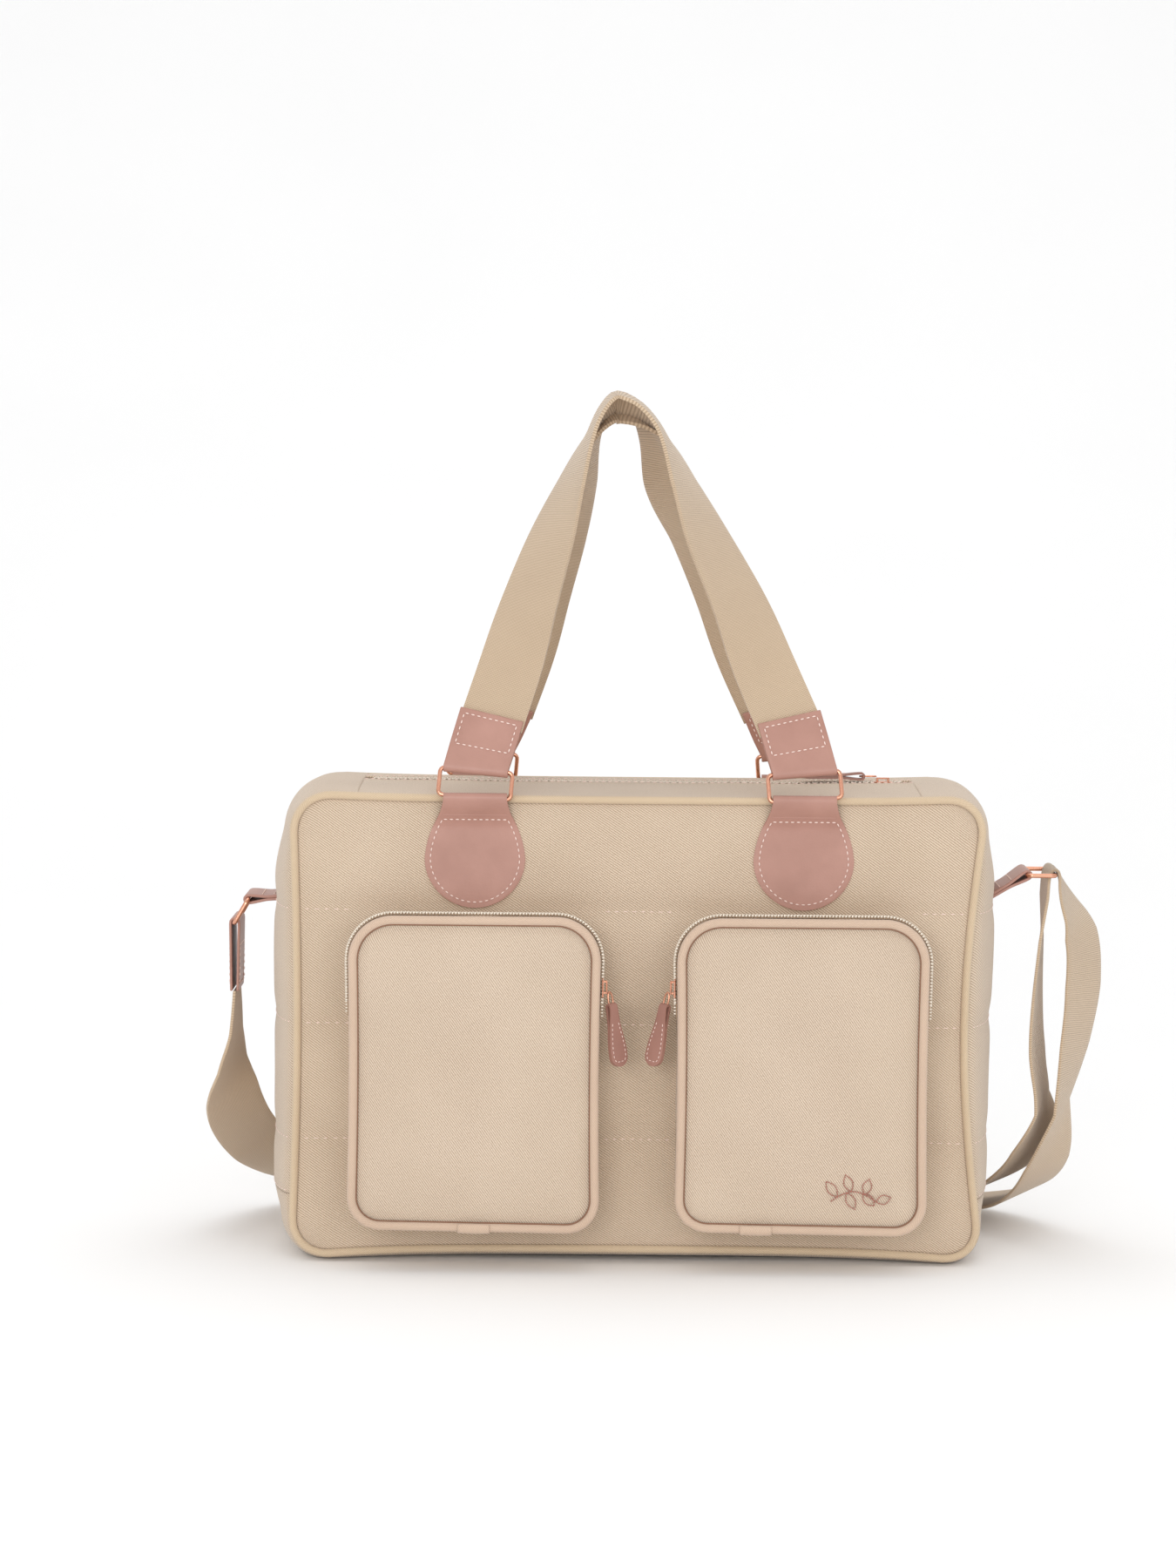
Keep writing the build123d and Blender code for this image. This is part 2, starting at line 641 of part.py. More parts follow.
right_bar_x = bar_x + RING_RISE
turn_top = bar_z + TURN_CLEAR
STRAP_ROUTE = [
    STRAP_EXIT,
    (left_bar_x, 0.0, 128.0),
    (-250.0, 3.0, 106.0),
    (-251.0, 12.0, 86.0),
    (-247.0, 34.0, 66.0),
    (-238.0, 64.0, 47.0),
    (-221.0, 92.0, 28.0),
    (-192.0, 113.0, 11.0),
    (-152.0, 125.0, 3.0),
    (-104.0, 131.0, 1.6),
    (-52.0, 127.0, 1.6),
    (2.0, 121.0, 1.6),
    (56.0, 124.0, 1.6),
    (108.0, 131.0, 1.6),
    (156.0, 131.0, 1.7),
    (203.0, 115.0, 4.5),
    (232.0, 85.0, 11.0),
    (248.0, 49.0, 23.0),
    (258.0, 20.0, 45.0),
    (264.0, 5.0, 84.0),
    (271.0, 0.0, 124.0),
    (276.0, 0.0, 160.0),
    (275.0, 0.0, 194.0),
    (262.0, 0.0, 218.0),
    (right_bar_x + TURN_CLEAR, 0.0, turn_top),
    (right_bar_x - TURN_CLEAR, 0.0, turn_top),
    (250.5, 0.0, 216.0),
    (249.0, 0.0, 190.0),
    (247.0, 0.0, 154.0),
    (247.0, 0.0, 120.0),
    (253.0, 5.0, 86.0),
    (250.0, 19.0, 58.0),
    (238.0, 45.0, 37.0),
    (222.0, 73.0, 22.0),
    (195.0, 100.0, 9.5),
    (160.0, 116.5, 4.8),
    (132.0, 116.5, 4.8),
]


def corner_radii(route):
    """The largest radius that the two runs at each corner leave room for."""
    points = [Vector(*p) for p in route]
    radii = []
    for before, here, after in zip(points, points[1:], points[2:]):
        into, out = here - before, after - here
        turn = radians(into.get_angle(out))
        radii.append(0.45 * min(into.length, out.length) / tan(turn / 2))
    return radii


strap_radii = corner_radii(STRAP_ROUTE)
over_bar = STRAP_ROUTE.index((right_bar_x + TURN_CLEAR, 0.0, turn_top)) - 1
strap_radii[over_bar] = TURN_CLEAR - 0.05
strap_radii[over_bar + 1] = TURN_CLEAR - 0.05
print("strap radii", [round(r, 1) for r in strap_radii])

with BuildPart() as shoulder_strap:
    with BuildLine() as strap_line:
        FilletPolyline(*STRAP_ROUTE, radius=strap_radii)
    strap_path = strap_line.wires()[0]
    with BuildSketch(Plane(origin=strap_path @ 0, z_dir=strap_path % 0)):
        Circle(STRAP_R)
    sweep(transition=Transition.ROUND)
save(shoulder_strap.part, "shoulder_strap")
section = Face(Wire(Edge.make_circle(STRAP_R))).area
print("strap length", strap_path.length, "volume", shoulder_strap.part.volume)
print("section times length", section * strap_path.length)

# Three-bar slider that the strap's free end is sewn to, flat on the layer below
end_x, end_y, _ = STRAP_ROUTE[-1]
slider_x = end_x - SEAM / 2 - STRAP_SLIDER[0] / 2
with BuildPart() as strap_slider:
    with BuildSketch(Plane.XY.offset(STRAP_SLIDER_Z)):
        with Locations((slider_x, end_y)):
            RectangleRounded(STRAP_SLIDER[0], STRAP_SLIDER[1], STRAP_SLIDER_CORNER)
            with GridLocations(SLOT_SPACING, 0, 2, 1):
                Rectangle(*SLIDER_SLOT, mode=Mode.SUBTRACT)
    extrude(amount=STRAP_SLIDER[2])
save(strap_slider.part, "strap_slider")
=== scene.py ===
import json
import logging
from dataclasses import dataclass, field
from enum import Enum
from math import cos, exp, pi, radians, sin, sqrt
from typing import Callable, Iterable, Iterator

import bmesh
import bpy
from mathutils import Matrix, Vector, noise


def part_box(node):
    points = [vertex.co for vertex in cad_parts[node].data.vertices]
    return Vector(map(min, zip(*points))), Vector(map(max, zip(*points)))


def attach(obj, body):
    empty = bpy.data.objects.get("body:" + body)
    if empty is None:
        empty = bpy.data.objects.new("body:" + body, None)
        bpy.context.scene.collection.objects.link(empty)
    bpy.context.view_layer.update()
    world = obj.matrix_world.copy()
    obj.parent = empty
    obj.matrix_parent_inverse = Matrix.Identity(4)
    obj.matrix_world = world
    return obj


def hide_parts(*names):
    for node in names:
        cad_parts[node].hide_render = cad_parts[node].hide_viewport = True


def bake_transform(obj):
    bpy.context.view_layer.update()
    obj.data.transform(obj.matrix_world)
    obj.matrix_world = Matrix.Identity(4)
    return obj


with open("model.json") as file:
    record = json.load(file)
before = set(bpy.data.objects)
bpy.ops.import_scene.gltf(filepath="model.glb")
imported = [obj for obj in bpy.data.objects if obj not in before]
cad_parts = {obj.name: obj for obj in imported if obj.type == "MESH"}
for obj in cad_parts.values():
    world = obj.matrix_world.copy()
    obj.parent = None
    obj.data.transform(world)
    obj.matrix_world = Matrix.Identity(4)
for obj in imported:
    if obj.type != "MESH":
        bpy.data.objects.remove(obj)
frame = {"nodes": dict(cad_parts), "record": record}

log = logging.getLogger("changing_bag")
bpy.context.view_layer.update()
MM = 0.001
TINY = 1e-9
X, Y, Z = Vector((1, 0, 0)), Vector((0, 1, 0)), Vector((0, 0, 1))
Place = Callable[[float, float], Vector]
Middle = Callable[[float], tuple[Vector, Vector, Vector]]
Colour = tuple[int, int, int]


class Tagged(Enum):
    """A choice whose name, in small letters, goes into the names of pieces."""

    @property
    def tag(self) -> str:
        """Returns the name in small letters."""
        return self.name.lower()


class Side(Tagged):
    """Left or right of the bag, seen from the front."""

    LEFT = -1
    RIGHT = 1


class End(Tagged):
    """The front face, towards -Y, or the back face."""

    FRONT = -1
    BACK = 1


# ------------------------------------------------------------------ small geometry helpers
def clamp(value: float, low: float = 0.0, high: float = 1.0) -> float:
    """Returns value held between low and high."""
    return max(low, min(high, value))


def smooth(value: float, low: float = 0.0, high: float = 1.0) -> float:
    """Returns the smooth step of value from 0 at low to 1 at high."""
    t = clamp((value - low) / (high - low))
    return t * t * (3 - 2 * t)


def bell(distance: float, width: float) -> float:
    """Returns 1 at no distance, falling to nothing over a few widths."""
    return exp(-((distance / width) ** 2))


def arch(share: float) -> float:
    """Returns a quarter circle's height, from 0 at share 0 to 1 at share 1."""
    return sqrt(clamp(1 - (1 - share) ** 2))


def ripple(x: float, y: float, z: float, size: float, seed: float = 0.0) -> float:
    """Returns slow noise from -1 to 1 over creases of a size, shifted by the seed."""
    return noise.noise(Vector((x, y, z)) / size + Vector((seed, seed * 1.7, -seed)))


def joint_place(name: str) -> Vector:
    """Returns where a joint of the record stands."""
    return Vector(next(j["pos_m"] for j in frame["record"]["behaviour"]["joints"] if j["name"] == name))


def ease(stations: list[tuple[float, ...]], t: float) -> list[float]:
    """Reads a row of values from stations that a smooth curve joins.

    Args:
        stations: rows whose first number is the place, in rising order.
        t: the place to read at.

    Returns:
        The values at t, without the place.
    """
    last = len(stations) - 1
    k = next((i for i in range(last) if t <= stations[i + 1][0]), last - 1)
    before, here = stations[max(k - 1, 0)], stations[k]
    there, after = stations[k + 1], stations[min(k + 2, last)]
    span = there[0] - here[0]
    f = clamp((t - here[0]) / span)
    values = []
    for i in range(1, len(here)):
        slope_in = (there[i] - before[i]) / max(there[0] - before[0], TINY) * span
        slope_out = (after[i] - here[i]) / max(after[0] - here[0], TINY) * span
        a = 2 * here[i] - 2 * there[i] + slope_in + slope_out
        b = -3 * here[i] + 3 * there[i] - 2 * slope_in - slope_out
        values.append(((a * f + b) * f + slope_in) * f + here[i])
    return values


def fold_at(b: float, straight: float, wrap: float) -> tuple[int, float]:
    """Walks along leather that is folded round a bar.

    Args:
        b: share of the whole way, from 0 to 1.
        straight: length of each leg.
        wrap: radius round the bar.

    Returns:
        1 and the distance to the bar on the first leg, 0 and the angle round the bar, or
        -1 and the distance from the bar on the second leg.
    """
    at = b * (2 * straight + pi * wrap)
    if at < straight:
        return 1, straight - at
    if at < straight + pi * wrap:
        return 0, (at - straight) / wrap
    return -1, at - straight - pi * wrap


@dataclass
class Rim:
    """A rounded rectangle in the upright plane, walked anticlockwise from its bottom middle."""

    centre_x: float
    half: float
    low: float
    high: float
    low_r: float
    high_r: float

    def legs(self) -> dict[str, float]:
        """Returns the straight runs and corners in order, with their lengths."""
        bottom, top = self.half - self.low_r, self.half - self.high_r
        side = self.high - self.low - self.low_r - self.high_r
        low_arc, high_arc = pi / 2 * self.low_r, pi / 2 * self.high_r
        return {
            "bottom_right": bottom, "low_right": low_arc, "right": side, "high_right": high_arc,
            "top": 2 * top, "high_left": high_arc, "left": side, "low_left": low_arc, "bottom_left": bottom,
        }

    def length(self) -> float:
        """Returns the whole way round."""
        return sum(self.legs().values())

    def at(self, distance: float) -> tuple[float, float, float, float]:
        """Returns x, z and the outward normal's x and z at a distance along the rim."""
        for name, reach in self.legs().items():
            if distance <= reach or name == "bottom_left":
                break
            distance -= reach
        c, h, low_r, high_r = self.centre_x, self.half, self.low_r, self.high_r
        straights = {
            "bottom_right": (c, self.low, 1, 0, 0.0, -1.0),
            "right": (c + h, self.low + low_r, 0, 1, 1.0, 0.0),
            "top": (c + h - high_r, self.high, -1, 0, 0.0, 1.0),
            "left": (c - h, self.high - high_r, 0, -1, -1.0, 0.0),
            "bottom_left": (c - h + low_r, self.low, 1, 0, 0.0, -1.0),
        }
        if name in straights:
            x, z, step_x, step_z, nx, nz = straights[name]
            return x + step_x * distance, z + step_z * distance, nx, nz
        start, r, mid_x, mid_z = {
            "low_right": (-pi / 2, low_r, h - low_r, self.low + low_r),
            "high_right": (0.0, high_r, h - high_r, self.high - high_r),
            "high_left": (pi / 2, high_r, high_r - h, self.high - high_r),
            "low_left": (pi, low_r, low_r - h, self.low + low_r),
        }[name]
        angle = start + distance / r
        return c + mid_x + r * cos(angle), mid_z + r * sin(angle), cos(angle), sin(angle)

    def climb(self, z: float) -> float:
        """Returns how far along the rim its right side reaches a height."""
        legs = self.legs()
        return legs["bottom_right"] + legs["low_right"] + z - self.low - self.low_r

    def inset(self, reach: float) -> "Rim":
        """Returns the outline drawn in by a distance."""
        return Rim(self.centre_x, self.half - reach, self.low + reach, self.high - reach,
                   self.low_r - reach, self.high_r - reach)

    def size(self) -> tuple[float, float]:
        """Returns its width and height."""
        return 2 * self.half, self.high - self.low

    def spot(self, a: float, b: float) -> tuple[float, float]:
        """Returns the point for shares across and up, squeezed into the rounded corners."""
        x = self.centre_x + self.half * (2 * a - 1)
        z = self.low + (self.high - self.low) * b
        left, lower = x < self.centre_x, z < (self.low + self.high) / 2
        r = self.low_r if lower else self.high_r
        cx = self.centre_x + (r - self.half if left else self.half - r)
        cz = self.low + r if lower else self.high - r
        u, v = (x - cx) / r, (z - cz) / r
        if u == 0 or v == 0 or (u < 0) != left or (v < 0) != lower:
            return x, z
        return cx + r * u * sqrt(1 - v * v / 2), cz + r * v * sqrt(1 - u * u / 2)


# ------------------------------------------------------------------ mesh helpers
def make_object(name: str, bm: bmesh.types.BMesh, smooth_faces: bool = True) -> bpy.types.Object:
    """Turns a bmesh into an object that stands at the origin.

    Args:
        name: the piece's name.
        bm: the mesh, which is freed.
        smooth_faces: whether its faces are shaded smooth.

    Returns:
        The new object, linked to the scene.
    """
    mesh = bpy.data.meshes.new(name)
    bm.to_mesh(mesh)
    bm.free()
    for face in mesh.polygons:
        face.use_smooth = smooth_faces
    piece = bpy.data.objects.new(name, mesh)
    bpy.context.scene.collection.objects.link(piece)
    log.debug("%s made", name)
    return piece


def patch(name: str, steps: tuple[int, int], place: Place, size: tuple[float, float],
          weld: bool = False, flip: bool = False, pins: Callable[[float, float], bool] | None = None
          ) -> bpy.types.Object:
    """Lays a grid of quads over a surface, with a UV map in metres.

    Args:
        name: the piece's name.
        steps: quads across and along.
        place: gives the point for each pair of values from 0 to 1.
        size: width and length that the UV map covers.
        weld: merges edges that meet, as round a tube.
        flip: turns the faces over.
        pins: says which points a simulation holds.

    Returns:
        The new object.
    """
    bm = bmesh.new()
    uv_layer = bm.loops.layers.uv.new("UVMap")
    bmesh.ops.create_grid(bm, x_segments=steps[0], y_segments=steps[1], size=0.5, calc_uvs=True)
    spots = {v: (v.co.x + 0.5, v.co.y + 0.5) for v in bm.verts}
    for face in bm.faces:
        for loop in face.loops:
            u, v = spots[loop.vert]
            loop[uv_layer].uv = (u * size[0], v * size[1])
    for v, (a, b) in spots.items():
        v.co = place(a, b)
    holds = [1.0 if pins and pins(a, b) else 0.0 for a, b in spots.values()]
    if flip:
        bmesh.ops.reverse_faces(bm, faces=bm.faces)
    if weld:
        bmesh.ops.remove_doubles(bm, verts=bm.verts, dist=0.02 * MM)
        bmesh.ops.recalc_face_normals(bm, faces=bm.faces)
    piece = make_object(name, bm)
    if pins:
        group = piece.vertex_groups.new(name="seams")
        for index, hold in enumerate(holds):
            group.add([index], hold, "REPLACE")
    return piece


def puff(piece: bpy.types.Object, pressure: float, cap: float, frames: int = 16) -> None:
    """Fills a seamed panel by cloth simulation, and keeps the result in its mesh.

    Args:
        piece: an open panel with a vertex group of its seams.
        pressure: how hard the filling pushes.
        cap: how far a point may move, in metres.
        frames: how long the simulation runs.
    """
    scene = bpy.context.scene
    before = [v.co.copy() for v in piece.data.vertices]
    cloth = piece.modifiers.new("filling", "CLOTH")
    for name, value in {
        "quality": 6, "mass": 0.25, "tension_stiffness": 28, "compression_stiffness": 12,
        "bending_stiffness": 1.2, "vertex_group_mass": "seams", "use_pressure": True,
        "uniform_pressure_force": pressure,
    }.items():
        setattr(cloth.settings, name, value)
    cloth.settings.effector_weights.gravity = 0
    cloth.point_cache.frame_start, cloth.point_cache.frame_end = 1, frames
    for number in range(1, frames + 1):
        scene.frame_set(number)
    shaped = piece.evaluated_get(bpy.context.evaluated_depsgraph_get())
    after = [v.co.copy() for v in shaped.data.vertices]
    piece.modifiers.remove(cloth)
    scene.frame_set(1)
    for vertex, old, new in zip(piece.data.vertices, before, after):
        move = new - old
        if move.length > cap:
            move *= cap / move.length
        vertex.co = old + move


def thicken(piece: bpy.types.Object, thickness: float, offset: float = -1.0,
            rounded: float = 0.0, levels: int = 0) -> bpy.types.Object:
    """Gives a sheet its thickness, rounded edges and a finer surface.

    Args:
        piece: the sheet.
        thickness: in metres.
        offset: -1 grows it behind its face, 1 in front.
        rounded: width of the rounding on its edges, in metres.
        levels: how often it is subdivided.

    Returns:
        The same object.
    """
    shell = piece.modifiers.new("thickness", "SOLIDIFY")
    shell.thickness, shell.offset, shell.use_even_offset = thickness, offset, False
    if rounded:
        edge = piece.modifiers.new("edges", "BEVEL")
        edge.width, edge.segments = rounded, 2
        edge.limit_method, edge.angle_limit = "ANGLE", radians(50)
    if levels:
        fine = piece.modifiers.new("fine", "SUBSURF")
        fine.levels = fine.render_levels = levels
    return piece


def tube(name: str, middle: Middle, length: float, radius: float, steps: tuple[int, int]) -> bpy.types.Object:
    """Lays a round tube along a closed line.

    Args:
        name: the piece's name.
        middle: gives the middle and two radial directions for a value from 0 to 1.
        length: the line's length, for the UV map.
        radius: of the tube.
        steps: quads along and around.

    Returns:
        The new object.
    """
    def place(a: float, b: float) -> Vector:
        """Returns the tube's surface."""
        spot, out, side = middle(a)
        return spot + radius * (cos(2 * pi * b) * out + sin(2 * pi * b) * side)

    return patch(name, steps, place, (length, 2 * pi * radius), weld=True)


def rim_middle(rim: Rim, put: Place) -> Middle:
    """Returns the middle line of a cord that follows a rim, each point moved by put(x, z)."""
    around = rim.length()

    def middle(a: float) -> tuple[Vector, Vector, Vector]:
        """Returns the cord's middle and its two radial directions."""
        x, z, nx, nz = rim.at(a * around)
        return put(x, z), Vector((nx, 0, nz)), Y

    return middle


def walk(line: list[Vector], pitch: float, fit: bool = False) -> Iterator[tuple[Vector, Vector]]:
    """Yields a point and the direction at each step along a line.

    Args:
        line: points along the way.
        pitch: from step to step.
        fit: stretches the pitch so that the steps fill the line.
    """
    reaches = [0.0]
    for here, there in zip(line, line[1:]):
        reaches.append(reaches[-1] + (there - here).length)
    count = int(reaches[-1] / pitch)
    if fit:
        count = max(1, count)
        pitch = reaches[-1] / count
    k = 0
    for number in range(count):
        at = (number + 0.5) * pitch
        while k < len(reaches) - 2 and reaches[k + 1] < at:
            k += 1
        f = (at - reaches[k]) / max(reaches[k + 1] - reaches[k], TINY)
        yield line[k].lerp(line[k + 1], f), (line[k + 1] - line[k]).normalized()


@dataclass(frozen=True)
class Stitch:
    """One kind of stitch: its length, the gap after it and the thread's radius, in millimetres."""

    length: float
    gap: float
    radius: float

    def sew(self, bm: bmesh.types.BMesh, line: list[Vector], outward: Vector) -> None:
        """Adds a row of stitches along a line, on the face that looks outward."""
        radius = self.radius * MM
        for spot, along in walk(line, (self.length + self.gap) * MM, fit=True):
            across = along.cross(outward).normalized()
            up = across.cross(along)
            turn = Matrix((along, across, up)).transposed().to_4x4()
            shape = Matrix.Diagonal((self.length * MM / 2, radius, radius, 1.0))
            matrix = Matrix.Translation(spot + up * radius * 0.35) @ turn @ shape
            bmesh.ops.create_icosphere(bm, subdivisions=1, radius=1.0, matrix=matrix)

    def rows(self, name: str, body: str, rows: Iterable[tuple[list[Vector], Vector]]) -> None:
        """Sews rows of pale thread as one piece.

        Args:
            name: the piece's name.
            body: the body that it rides on.
            rows: each row's points and the way that it looks.
        """
        thread = bmesh.new()
        for line, outward in rows:
            self.sew(thread, line, outward)
        THREAD.dress(make_object(name, thread), body)


QUILTING, SADDLE = Stitch(3.4, 1.5, 0.32), Stitch(2.5, 1.0, 0.42)
PULL_STITCH, EDGE_STITCH = Stitch(1.9, 0.8, 0.24), Stitch(2.8, 1.1, 0.3)
STEM_STITCH, LEAF_STITCH = Stitch(1.3, 0.1, 0.6), Stitch(1.2, 0.05, 0.55)


def block(bm: bmesh.types.BMesh, middle: Vector, axes: tuple[Vector, Vector, Vector],
          size: Iterable[float], rounding: float, segments: int = 2) -> None:
    """Adds a block with rounded edges.

    Args:
        bm: the mesh that the block joins.
        middle: its centre.
        axes: three directions at right angles.
        size: its size along each of them.
        rounding: the width of its bevel.
        segments: the steps of its bevel.
    """
    turn = Matrix([a.normalized() for a in axes]).transposed().to_4x4()
    matrix = Matrix.Translation(middle) @ turn @ Matrix.Diagonal((*size, 1.0))
    made = bmesh.ops.create_cube(bm, size=1.0, matrix=matrix)
    edges = list({e for v in made["verts"] for e in v.link_edges})
    bmesh.ops.bevel(bm, geom=edges, offset=rounding, segments=segments, profile=0.5,
                    affect="EDGES", material=-1)


# ------------------------------------------------------------------ materials
def srgb(colour: Colour) -> tuple[float, float, float, float]:
    """Returns a screen colour as linear values with full alpha."""
    parts = [level / 255 for level in colour]
    return (*(p / 12.92 if p <= 0.04045 else ((p + 0.055) / 1.055) ** 2.4 for p in parts), 1.0)


class Graph:
    """Adds and links shader nodes in one tree."""

    def __init__(self, tree: bpy.types.NodeTree) -> None:
        """Keeps the tree and clears it."""
        self.tree = tree
        tree.nodes.clear()

    def add(self, kind: str, values: dict | None = None, **settings: object) -> bpy.types.Node:
        """Adds a node.

        Args:
            kind: the node's type, without its usual start.
            values: input name or number to a value or a socket to link.
            settings: attributes of the node.

        Returns:
            The new node.
        """
        node = self.tree.nodes.new(kind if kind.startswith("Node") else "ShaderNode" + kind)
        for name, value in settings.items():
            setattr(node, name, value)
        for name, value in (values or {}).items():
            if isinstance(value, bpy.types.NodeSocket):
                self.tree.links.new(value, node.inputs[name])
            else:
                node.inputs[name].default_value = value
        return node

    def math(self, operation: str, *values: object) -> bpy.types.NodeSocket:
        """Adds a Math node on the values, and returns its output."""
        return self.add("Math", dict(enumerate(values)), operation=operation).outputs[0]

    def times(self, *values: object) -> bpy.types.NodeSocket:
        """Returns the product of two values."""
        return self.math("MULTIPLY", *values)

    def plus(self, *values: object) -> bpy.types.NodeSocket:
        """Returns the sum of two values."""
        return self.math("ADD", *values)

    def noise(self, vector: bpy.types.NodeSocket, scale: object, detail: float = 2.0) -> bpy.types.NodeSocket:
        """Returns noise on the coordinates."""
        return self.add("TexNoise", {"Vector": vector, "Scale": scale, "Detail": detail}).outputs[0]


def weave_group(name: str, inputs: dict[str, float], outputs: tuple[str, str],
                fill: Callable[[Graph, bpy.types.NodeOutputs], tuple]) -> bpy.types.NodeTree:
    """Makes a node group on coordinates, or finds it if it is there.

    Args:
        name: the group's name.
        inputs: number inputs with their usual values.
        outputs: names of its two number outputs.
        fill: builds its nodes from the group's inputs, and returns the two outputs.

    Returns:
        The group.
    """
    if name in bpy.data.node_groups:
        return bpy.data.node_groups[name]
    tree = bpy.data.node_groups.new(name, "ShaderNodeTree")
    tree.interface.new_socket("Vector", in_out="INPUT", socket_type="NodeSocketVector")
    for label, usual in inputs.items():
        socket = tree.interface.new_socket(label, in_out="INPUT", socket_type="NodeSocketFloat")
        socket.default_value = usual
    for label in outputs:
        tree.interface.new_socket(label, in_out="OUTPUT", socket_type="NodeSocketFloat")
    g = Graph(tree)
    results = fill(g, g.add("NodeGroupInput").outputs)
    g.add("NodeGroupOutput", dict(zip(outputs, results)))
    return tree


def twill(g: Graph, start: bpy.types.NodeOutputs) -> tuple:
    """Fills the diagonal weave: raised slanting cords with short crossing threads."""
    x, y, _ = g.add("SeparateXYZ", {0: start["Vector"]}).outputs
    wobble = g.noise(start["Vector"], 140.0)
    cosine, sine = g.math("COSINE", start["Slant"]), g.math("SINE", start["Slant"])
    across = g.plus(g.times(x, sine), g.times(y, cosine))
    along = g.math("SUBTRACT", g.times(x, cosine), g.times(y, sine))
    turns = g.math("DIVIDE", 2 * pi, start["Pitch"])
    cord = g.math("SINE", g.plus(g.times(across, turns), g.times(wobble, 1.6)))
    thread = g.math("SINE", g.times(along, g.times(turns, 1.3)))
    nub = g.times(g.times(thread, 0.35), g.plus(cord, 1.2))
    height = g.plus(g.times(g.plus(cord, 1.0), 0.4), g.times(nub, 0.3))
    slub = g.noise(start["Vector"], 900.0, 1.0)
    # The Shade output, which sets the colour, is mostly the cords' height: painted shade in the weave's
    # hollows, with random slubs.
    return height, g.plus(g.times(height, 0.75), g.times(slub, 0.35))


def rib(g: Graph, start: bpy.types.NodeOutputs) -> tuple:
    """Fills the webbing's weave: ribs across it with fine threads along it."""
    x, y, _ = g.add("SeparateXYZ", {0: start["Vector"]}).outputs
    ribs = g.math("SINE", g.times(y, g.math("DIVIDE", 2 * pi, start["Pitch"])))
    threads = g.math("SINE", g.times(x, g.math("DIVIDE", 2 * pi, start["Thread"])))
    pattern = g.plus(g.times(ribs, 0.3), g.times(threads, 0.2))
    height = g.plus(g.plus(pattern, 0.5), g.times(g.noise(start["Vector"], 1100.0), 0.15))
    # The colour output is the ribs' height: painted shade between the ribs.
    return height, height


def grain(g: Graph, start: bpy.types.NodeOutputs) -> tuple:
    """Fills leather grain: small rounded cells with pores and slow waves."""
    cells = g.add("TexVoronoi", {"Vector": start["Vector"], "Scale": g.math("DIVIDE", 1.0, start["Pitch"])},
                  feature="SMOOTH_F1").outputs["Distance"]
    waves = g.noise(start["Vector"], 130.0, 4.0)
    return g.plus(g.times(cells, 0.7), g.times(waves, 0.5)), g.noise(start["Vector"], 45.0, 3.0)


def mottle(g: Graph, start: bpy.types.NodeOutputs) -> tuple:
    """Fills slow and fine variation of colour, for cloth and metal alike."""
    slow = g.noise(start["Vector"], start["Size"], 3.0)
    return slow, g.noise(start["Vector"], g.times(start["Size"], 22.0))


class Weave(Enum):
    """What covers a finish's surface: its group's name, inputs, outputs and filling."""

    TWILL = ("Twill weave", {"Pitch": 0.00115, "Slant": 0.78}, ("Height", "Shade"), twill)
    RIB = ("Webbing weave", {"Pitch": 0.0016, "Thread": 0.0008}, ("Height", "Shade"), rib)
    GRAIN = ("Leather grain", {"Pitch": 0.0011}, ("Height", "Tone"), grain)
    PLAIN = ("Mottle", {"Size": 18.0}, ("Slow", "Fine"), mottle)


